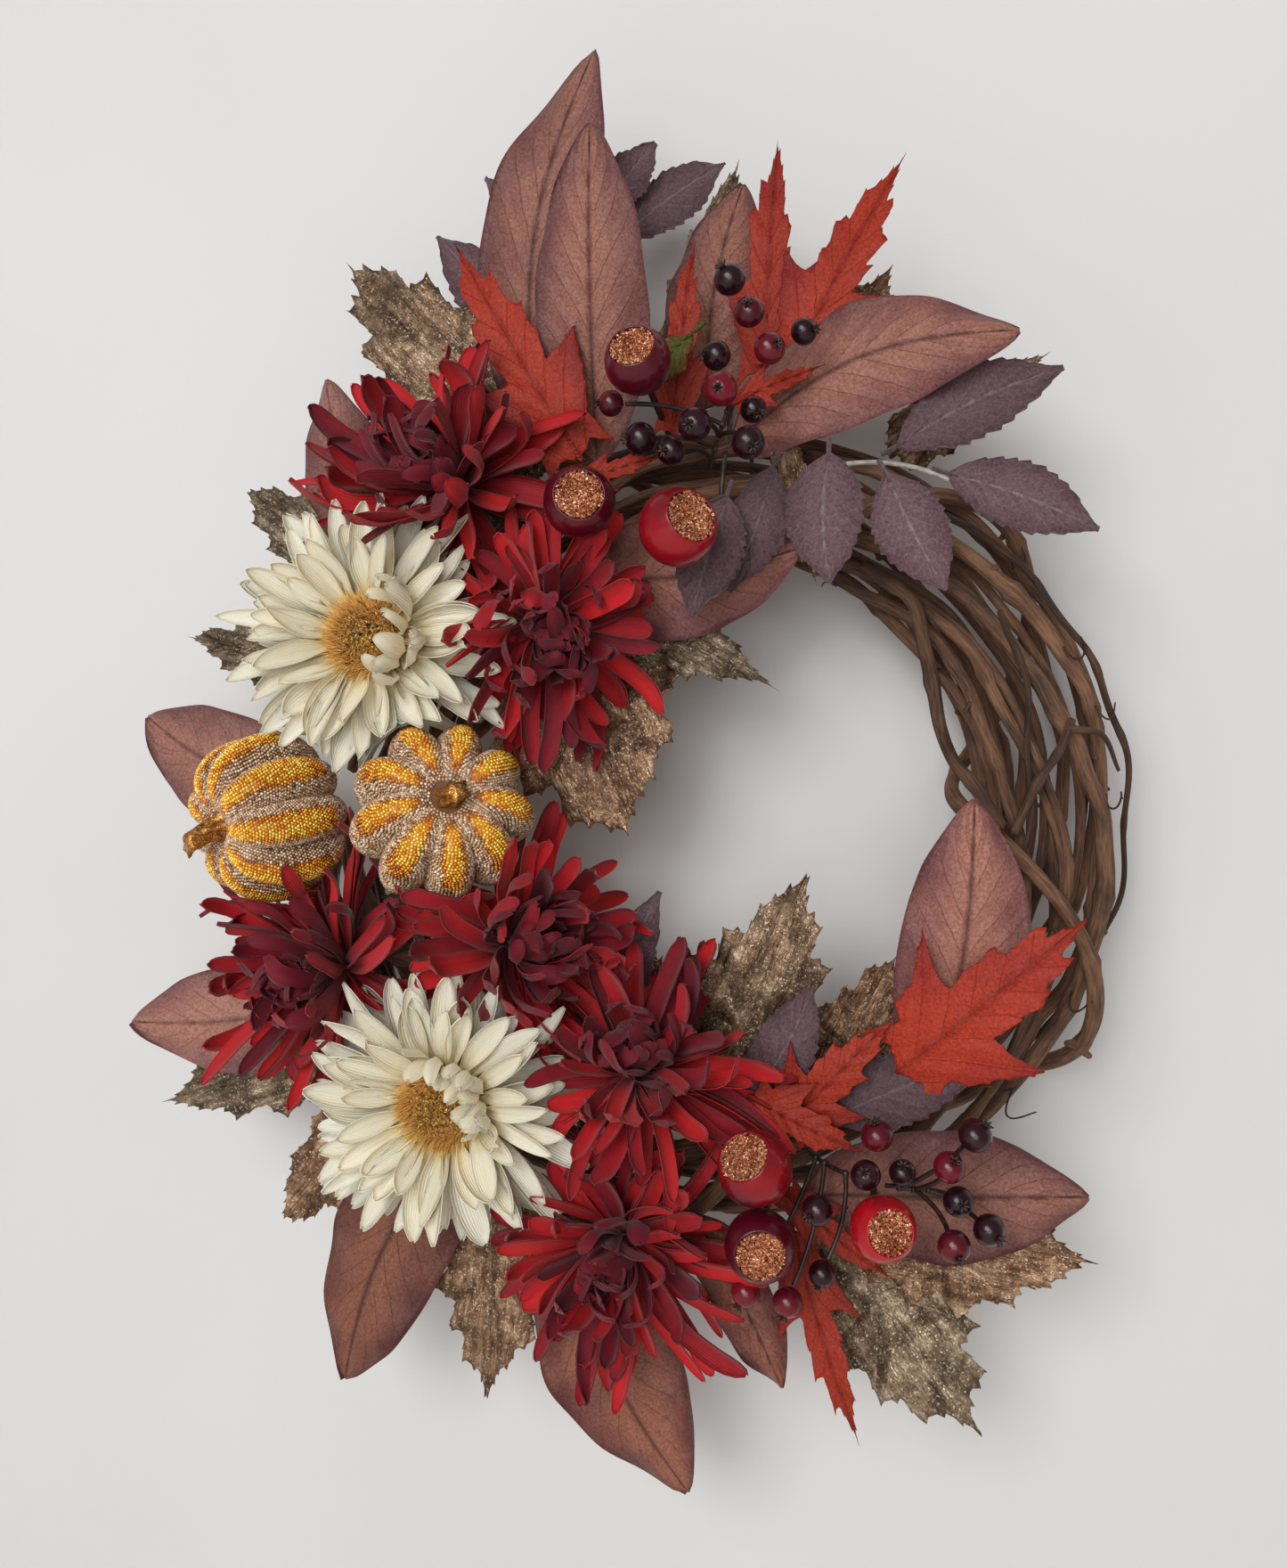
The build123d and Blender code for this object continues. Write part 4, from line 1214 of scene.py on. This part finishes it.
def disc(number, axis, base, side, other):
    """Ring of fine bristles round a glittery middle."""
    heap = Heap()
    for _ in range(BRISTLES):
        turn = dice.uniform(0, 2 * pi)
        share = sqrt(dice.uniform(0.30, 1.0))
        out = circle(side, other, turn)
        root = base + out * DISC_RADIUS * share * 0.86
        lean = 1.3 * (share - 0.62) + dice.uniform(-0.18, 0.18)
        tall = dice.uniform(0.0075, 0.0110) * (0.75 + 0.3 * share)
        way = unit(axis + out * lean + np.cross(axis, out) * dice.uniform(-0.22, 0.22))
        tip = root + way * tall
        ring = root + circle(*frame_about(way), laps(3), BRISTLE_RADIUS)
        tone = dice.uniform(0, 1)
        # Bristles run from a dark brown root to a golden tip, the outer ones most: partly their own
        # colour, partly painted shade deep in the tuft.
        paint = np.array([(0, 0, tone, 0.0)] * 3 + [(1, 0, tone, 0.35 + 0.65 * step(0.55, 1, share))])
        heap.add(np.vstack((ring, tip)), ([(0, 1, 3), (1, 2, 3), (2, 0, 3), (2, 1, 0)],), paint)
    heap.piece(f"daisy_{number}_bristles", BRISTLE, "daisy_disc", (f"daisy_{number}_disc",))
    heap = Heap()
    count = DISC_GRAINS
    reach = DISC_RADIUS * 0.66 * np.sqrt(dice.uniform(0, 1, count))
    turn = dice.uniform(0, 2 * pi, count)
    rise = 0.0066 - 0.0020 * (reach / DISC_RADIUS) ** 2 + dice.uniform(-0.0007, 0.0007, count)
    places = base + axis * rise[:, None] + circle(side, other, turn, reach)
    scatter(heap, places, GRAIN_POINTS, GRAIN_FACES, dice.uniform(0.0004, 0.0009, count), PLAIN)
    heap.piece(f"daisy_{number}_glitter", DISC_GLITTER, "daisy_disc", smooth=False)


# --- pumpkins ---------------------------------------------------------------
RIBS = 9
PUMPKIN_RADIUS = 0.035
PUMPKIN_HALF = 0.0285
BEAD = 0.00070
BEAD_ROWS = BEAD * 1.78      # between one row of beads and the next
BEAD_STEP = BEAD * 2.02      # between beads in a row
AMBER = 0.34                 # the least glow of an amber bead
# How far up each pumpkin from its foot the amber starts.
AMBER_EDGES = (0.36, 0.64)


def ribbed(share, turn):
    """Radius and height on a pumpkin's skin: share 0 is its foot, 1 its crown."""
    a = pi * share
    body = np.sin(a) ** 0.72
    crown = np.abs(np.cos(turn * RIBS / 2))
    depth = 0.27 * step(0.05, 0.6, body)
    radius = PUMPKIN_RADIUS * body * (1 - depth * (1 - crown**0.75))
    dimple = 0.30 * np.exp(-((body / 0.42) ** 2))
    height = -PUMPKIN_HALF * np.cos(a) * (1 - dimple) * (1 - 0.10 * (1 - crown) * step(0.1, 0.6, body))
    return radius, height, crown


def glow_of(share, crown, edge):
    """How amber a place is: ribs' crowns are amber from an edge up to the stem, most along their
    middles, where the brighter yellow is partly a painted highlight.
    """
    patch = step(edge - 0.14, edge + 0.14, share) * (1 - step(0.88, 0.98, share))
    return step(0.48, 1.0, crown) * patch


def pumpkins():
    """Ribbed pumpkins: a painted skin under rows of glass beads."""
    for number in (1, 2):
        shell = f"pumpkin_{number}_shell"
        points = points_of(shell)
        axis = unit(points_of(f"pumpkin_{number}_stem").mean(axis=0) - points.mean(axis=0))
        along = points @ axis
        centre = points.mean(axis=0)
        centre = centre + axis * ((along.max() + along.min()) / 2 - centre @ axis)
        side, other = frame_about(axis)
        across = points - centre
        across -= np.outer(across @ axis, axis)
        widen = np.linalg.norm(across, axis=1).max() / PUMPKIN_RADIUS

        def put(radius, height, turn):
            return centre + axis * height[..., None] + circle(side, other, turn, radius * widen)

        edge = AMBER_EDGES[number - 1]
        rows, columns = 40, RIBS * 12
        share = np.linspace(0.02, 0.98, rows)[:, None]
        turn = laps(columns)[None, :]
        radius, height, crown = ribbed(share, turn)
        skin = put(radius - 0.0006, height, turn + 0 * share)
        heap = Heap()
        ends = np.array((centre - axis * PUMPKIN_HALF * 0.7, centre + axis * PUMPKIN_HALF * 0.7))
        paint = np.zeros((rows * columns + 2, 4))
        paint[:-2, 3] = glow_of(share, crown, edge).ravel()
        heap.add(np.vstack((skin.reshape(-1, 3), ends)), ring_stack(rows, columns), paint)
        heap.piece(f"{shell}_skin", SKIN, "pumpkin_beads", (shell,))

        fine = np.linspace(0.03, 0.97, 600)
        r, h, _ = ribbed(fine, np.zeros_like(fine))
        run = run_of(np.c_[r, h])
        places, glows = [], []
        lap = np.linspace(0, 2 * pi, RIBS * 60 + 1)
        for count, distance in enumerate(np.arange(0, run[-1], BEAD_ROWS)):
            s = np.interp(distance, run, fine)
            radius, height, crown = ribbed(np.full_like(lap, s), lap)
            walk = run_of(put(radius, height, lap))
            total = max(int(walk[-1] / BEAD_STEP), 3)
            at = (np.arange(total) + 0.5 * (count % 2)) * walk[-1] / total
            turn = np.interp(at, walk, lap) + dice.uniform(-0.004, 0.004, total)
            share = np.full(total, s) + dice.uniform(-0.0018, 0.0018, total)
            radius, height, crown = ribbed(share, turn)
            places.append(put(radius, height, turn))
            glows.append(glow_of(share, crown, edge) + dice.normal(0, 0.10, total))
        places, glows = np.concatenate(places), np.concatenate(glows)
        glows = glows + 0.10 * Ripples(0.016).at(places) * step(0.3, 0.6, glows)
        kinds = (("amber", glows > AMBER, GOLD_BEADS), ("clear", glows <= AMBER, CLEAR_BEADS))
        for label, chosen, material in kinds:
            heap = Heap()
            kept = places[chosen]
            paint = np.zeros((len(kept), 4))
            # Each bead's random lightness is partly its own tint, partly painted sparkle.
            paint[:, 2] = dice.uniform(0, 1, len(kept))
            glow = glows[chosen] if label == "amber" else dice.uniform(0, 1, len(kept))
            paint[:, 3] = np.clip(glow, 0, 1)
            scatter(heap, kept, ICO_POINTS, ICO_FACES, np.full(len(kept), BEAD), paint)
            heap.piece(f"pumpkin_{number}_beads_{label}", material, "pumpkin_beads")
        pumpkin_stem(number, centre, axis, side, other)


STEM_LENGTHS = (0.017, 0.012)


def pumpkin_stem(number, centre, axis, side, other):
    """Ridged, bent and tapered stem with a flared foot."""
    heap = Heap()
    long = STEM_LENGTHS[number - 1]
    t = np.linspace(0, 1, 22)
    bend = -UP * 0.005 if number == 1 else side * 0.003
    path = (centre + axis * (PUMPKIN_HALF * 0.62 + long * t)[:, None] + bend * (t**2)[:, None])
    radii = 0.0052 * (1 - 0.36 * t) + 0.0030 * np.exp(-((t / 0.18) ** 2)) + 0.0008 * step(0.8, 1, t)
    sides = 30
    turns = laps(sides)
    ridge = 1 + 0.20 * np.cos(turns * 5)
    points = np.concatenate([path[i] + circle(side, other, turns + t[i], radii[i] * ridge)
                             for i in range(len(t))])
    points = wandering(points, 0.0002, 0.004)
    ends = np.array((path[0], path[-1] + axis * 0.0008))
    heap.add(np.vstack((points, ends)), ring_stack(len(t), sides), PLAIN)
    stem = f"pumpkin_{number}_stem"
    heap.piece(f"{stem}_glitter", STEM_GOLD, "copper_glitter", (stem,))


# --- hips and berries -------------------------------------------------------
def turned(heap, centre, axis, profile, sides, wobble, paint):
    """Closed solid of revolution through (radius, height) places, made uneven."""
    side, other = frame_about(axis)
    turns = laps(sides)
    profile = np.asarray(profile)
    inner = profile[1:-1]
    points = centre + axis * inner[:, 1][:, None, None] + circle(side, other, turns[None], inner[:, :1])
    points = points.reshape(-1, 3)
    points = points + (points - centre) * (Ripples(0.02).at(points) * wobble)[:, None]
    ends = centre + axis * profile[[0, -1], 1][:, None]
    heap.add(np.vstack((points, ends)), ring_stack(len(inner), sides), paint)


# A hip's lip and the plug in its mouth, as radii and heights, both as parts of
# the hip's radius.
HIP_LIP = ((0.745, 0.70), (0.715, 0.725), (0.685, 0.70), (0.665, 0.62), (0.66, 0.55), (0, 0.53))
HIP_PLUG = ((0, 0.535), (0.63, 0.545), (0.64, 0.62), (0.4, 0.57), (0, 0.565))
HIP_GRAINS = 700
SEPALS = 6                   # on each berry's crown
# How deep each hip's red is, from left to right in its group.
HIP_DEPTHS = {"top": (0.75, 0.85, 0.35), "bottom": (0.4, 0.9, 0.2)}


def hips():
    """Lacquered hips, each with glittery grains in its open mouth."""
    shells = {place: solids_of(f"hip_shells_{place}") for place in ("top", "bottom")}
    mouths = [points.mean(axis=0) for points in solids_of("hip_mouths")]
    seeds = Heap()
    for place, found in shells.items():
        heap = Heap()
        for points, depth in zip(sorted(found, key=lambda p: p[:, 0].mean()), HIP_DEPTHS[place]):
            centre, radius = ball_of(points)
            mouth = min(mouths, key=lambda m: np.linalg.norm(m - centre))
            axis = unit(mouth - centre)
            OBSTACLES.append((centre, radius + 0.0006))
            profile = [(0, -1.04)]
            for a in np.radians(np.linspace(172, 50, 26)):
                profile.append((sin(a) * 1.02, cos(a) * (1.02 if cos(a) < 0 else 1.0)))
            profile = np.array(profile + list(HIP_LIP)) * radius
            turned(heap, centre, axis, profile, 40, 0.010, (0, 0, dice.uniform(0.7, 1), depth))
            count = HIP_GRAINS
            reach = 0.655 * radius * np.sqrt(dice.uniform(0, 1, count))
            turn = dice.uniform(0, 2 * pi, count)
            rise = radius * (0.575 + 0.12 * (reach / radius / 0.65) ** 3)
            rise = rise + dice.uniform(-0.0004, 0.0004, count)
            grains = centre + axis * rise[:, None] + circle(*frame_about(axis), turn, reach)
            scatter(seeds, grains, GRAIN_POINTS, GRAIN_FACES, dice.uniform(0.0005, 0.0010, count), PLAIN)
            turned(seeds, centre, axis, np.array(HIP_PLUG) * radius, 24, 0.0, PLAIN)
        heap.piece(f"hip_shells_{place}_lacquer", HIP_RED, "hip_lacquer", (f"hip_shells_{place}",))
    seeds.piece("hip_mouths_glitter", COPPER, "copper_glitter", ("hip_mouths",), smooth=False)


def berries():
    """Small dark berries, each with a crown of sepals."""
    crowns = [points.mean(axis=0) for points in solids_of("berry_crowns")]
    sepals = Heap()
    for place in ("top", "bottom"):
        heap = Heap()
        for points in solids_of(f"berries_{place}"):
            centre, radius = ball_of(points)
            crown = min(crowns, key=lambda c: np.linalg.norm(c - centre))
            axis = unit(crown - centre)
            profile = [(0, -1.0)]
            for a in np.radians(np.linspace(170, 16, 18)):
                profile.append((sin(a) * 1.02, cos(a) * 0.98))
            profile.append((0, 0.90))
            turned(heap, centre, axis, np.array(profile) * radius, 26, 0.012,
                   (0, 0, dice.uniform(0.3, 1), dice.uniform(0, 1)))
            for index in range(SEPALS):
                turn = index * 2 * pi / SEPALS + dice.uniform(-0.15, 0.15)
                out = circle(*frame_about(axis), turn)
                root = centre + axis * radius * 0.93 + out * radius * 0.10
                tip = root + axis * 0.0016 + out * 0.0019
                path = np.array([root, root + axis * 0.0010 + out * 0.0005, tip])
                tube(sepals, path, (0.0008, 0.0006, 0.0002), 5, 0.5)
        heap.piece(f"berries_{place}_lacquer", BERRY_RED, "berry_lacquer", (f"berries_{place}",))
    sepals.piece("berry_crowns_sepals", TWIG, "berry_lacquer", ("berry_crowns",))


# --- kept frame solids ------------------------------------------------------
def dress(label, material):
    """Give a frame solid its material."""
    for slot in NODES[label].material_slots:
        slot.material = material


def dress_kept():
    """Stalks, twigs and wire keep their frame solids."""
    for label in NODES:
        if label.startswith(("mum_", "daisy_")) and label.endswith("_stem"):
            dress(label, STALK)
    for label in ("berry_twigs_top", "berry_twigs_bottom", "hip_stems"):
        dress(label, TWIG)
    dress("hanging_loop", WIRE)
    dress("spray_stems", PALE_STEM)


# --- stage ------------------------------------------------------------------
def stage_sheet(name, width, place, tilt, material):
    """Square sheet for the floor or the backdrop."""
    mesh = bpy.data.meshes.new(name)
    half = width / 2
    corners = [(-half, -half, 0), (half, -half, 0), (half, half, 0), (-half, half, 0)]
    mesh.from_pydata(corners, [], [(0, 1, 2, 3)])
    mesh.materials.append(material)
    sheet = bpy.data.objects.new(name, mesh)
    sheet.location = place
    sheet.rotation_euler = (tilt, 0, 0)
    bpy.context.scene.collection.objects.link(sheet)


def pale(name, colour):
    """Pale paint, slightly uneven."""
    looks = Looks(name, roughness=0.7, specular=0.2)
    soft = looks.noise(looks.here(), 3, 2)
    shade = tuple(c - 6 for c in colour)
    looks.colour(looks.ramp(soft, (0.3, shade), (0.7, colour)))
    return looks


def one_sided(looks):
    """Seen from its front only and casting no shadow, so that the back is lit and in view."""
    back = looks.node("ShaderNodeNewGeometry").outputs["Backfacing"]
    shadow = looks.node("ShaderNodeLightPath").outputs["Is Shadow Ray"]
    unseen = looks.math("MAXIMUM", back, shadow)
    clear = looks.node("ShaderNodeBsdfTransparent")
    shaders = {0: unseen, 1: looks.shader.outputs[0], 2: clear.outputs[0]}
    both = looks.node("ShaderNodeMixShader", shaders)
    looks.links.new(both.outputs[0], looks.nodes["Material Output"].inputs["Surface"])
    return looks.material


def area_light(name, place, size, power):
    """White round light that looks at the ring's middle."""
    data = bpy.data.lights.new(name, "AREA")
    data.shape = "DISK"
    data.size = size
    data.energy = power
    light = bpy.data.objects.new(name, data)
    light.location = place
    light.rotation_euler = (Vector(CENTRE) - Vector(place)).to_track_quat("-Z", "Y").to_euler()
    bpy.context.scene.collection.objects.link(light)


FLOOR_DROP = 0.30
BACKDROP_BEHIND = 0.013
WORLD_STRENGTH = 0.24
# Name, place, diameter in metres and power in watts.
LIGHTS = (
    ("key", (-0.60, -2.30, 0.60), 1.3, 27),
    ("fill", (0.20, -3.20, -0.1), 2.0, 36),
    ("behind", (0.3, 2.4, 0.4), 1.8, 24))
CAMERA_LENS = 30.68          # on a sensor 36 mm wide
CAMERA_PLACE = (0.1028, -0.5986, -0.1852)
CAMERA_ANGLES = (13.05, 0.4, 5.3)    # yaw, pitch and roll, in degrees


def stage_and_camera():
    """Pale sheets behind and below, soft lights, and a camera in front."""
    low, _ = CAD_BOX
    stage_sheet("floor", 6, (0, 0, low.z - FLOOR_DROP), 0, pale("floor_paint", (226, 224, 220)).material)
    stage_sheet("backdrop", 5, (0, BACKDROP_BEHIND, -0.2), radians(90),
                one_sided(pale("backdrop_paint", (222, 221, 220))))
    for light in LIGHTS:
        area_light(*light)
    world = bpy.data.worlds.new("studio")
    world.use_nodes = True
    world.node_tree.nodes["Background"].inputs["Color"].default_value = (1, 1, 1, 1)
    world.node_tree.nodes["Background"].inputs["Strength"].default_value = WORLD_STRENGTH
    bpy.context.scene.world = world
    bpy.context.scene.view_settings.view_transform = "Standard"
    data = bpy.data.cameras.new("camera")
    data.sensor_width = 36
    data.lens = CAMERA_LENS
    data.clip_start = 0.01
    yaw, pitch, roll = (radians(angle) for angle in CAMERA_ANGLES)
    forward = Vector((-sin(yaw) * cos(pitch), cos(yaw) * cos(pitch), sin(pitch)))
    right = forward.cross(Vector((0, 0, 1))).normalized()
    above = right.cross(forward)
    turned_right = right * cos(roll) + above * sin(roll)
    turned_up = above * cos(roll) - right * sin(roll)
    camera = bpy.data.objects.new("camera", data)
    axes = Matrix((turned_right, turned_up, -forward)).transposed().to_4x4()
    camera.matrix_world = Matrix.Translation(CAMERA_PLACE) @ axes
    bpy.context.scene.collection.objects.link(camera)
    bpy.context.scene.camera = camera


keep_clear()
grapevine()
binder()
tendrils()
foliage()
hips()
berries()
mums()
daisies()
pumpkins()
dress_kept()
stage_and_camera()
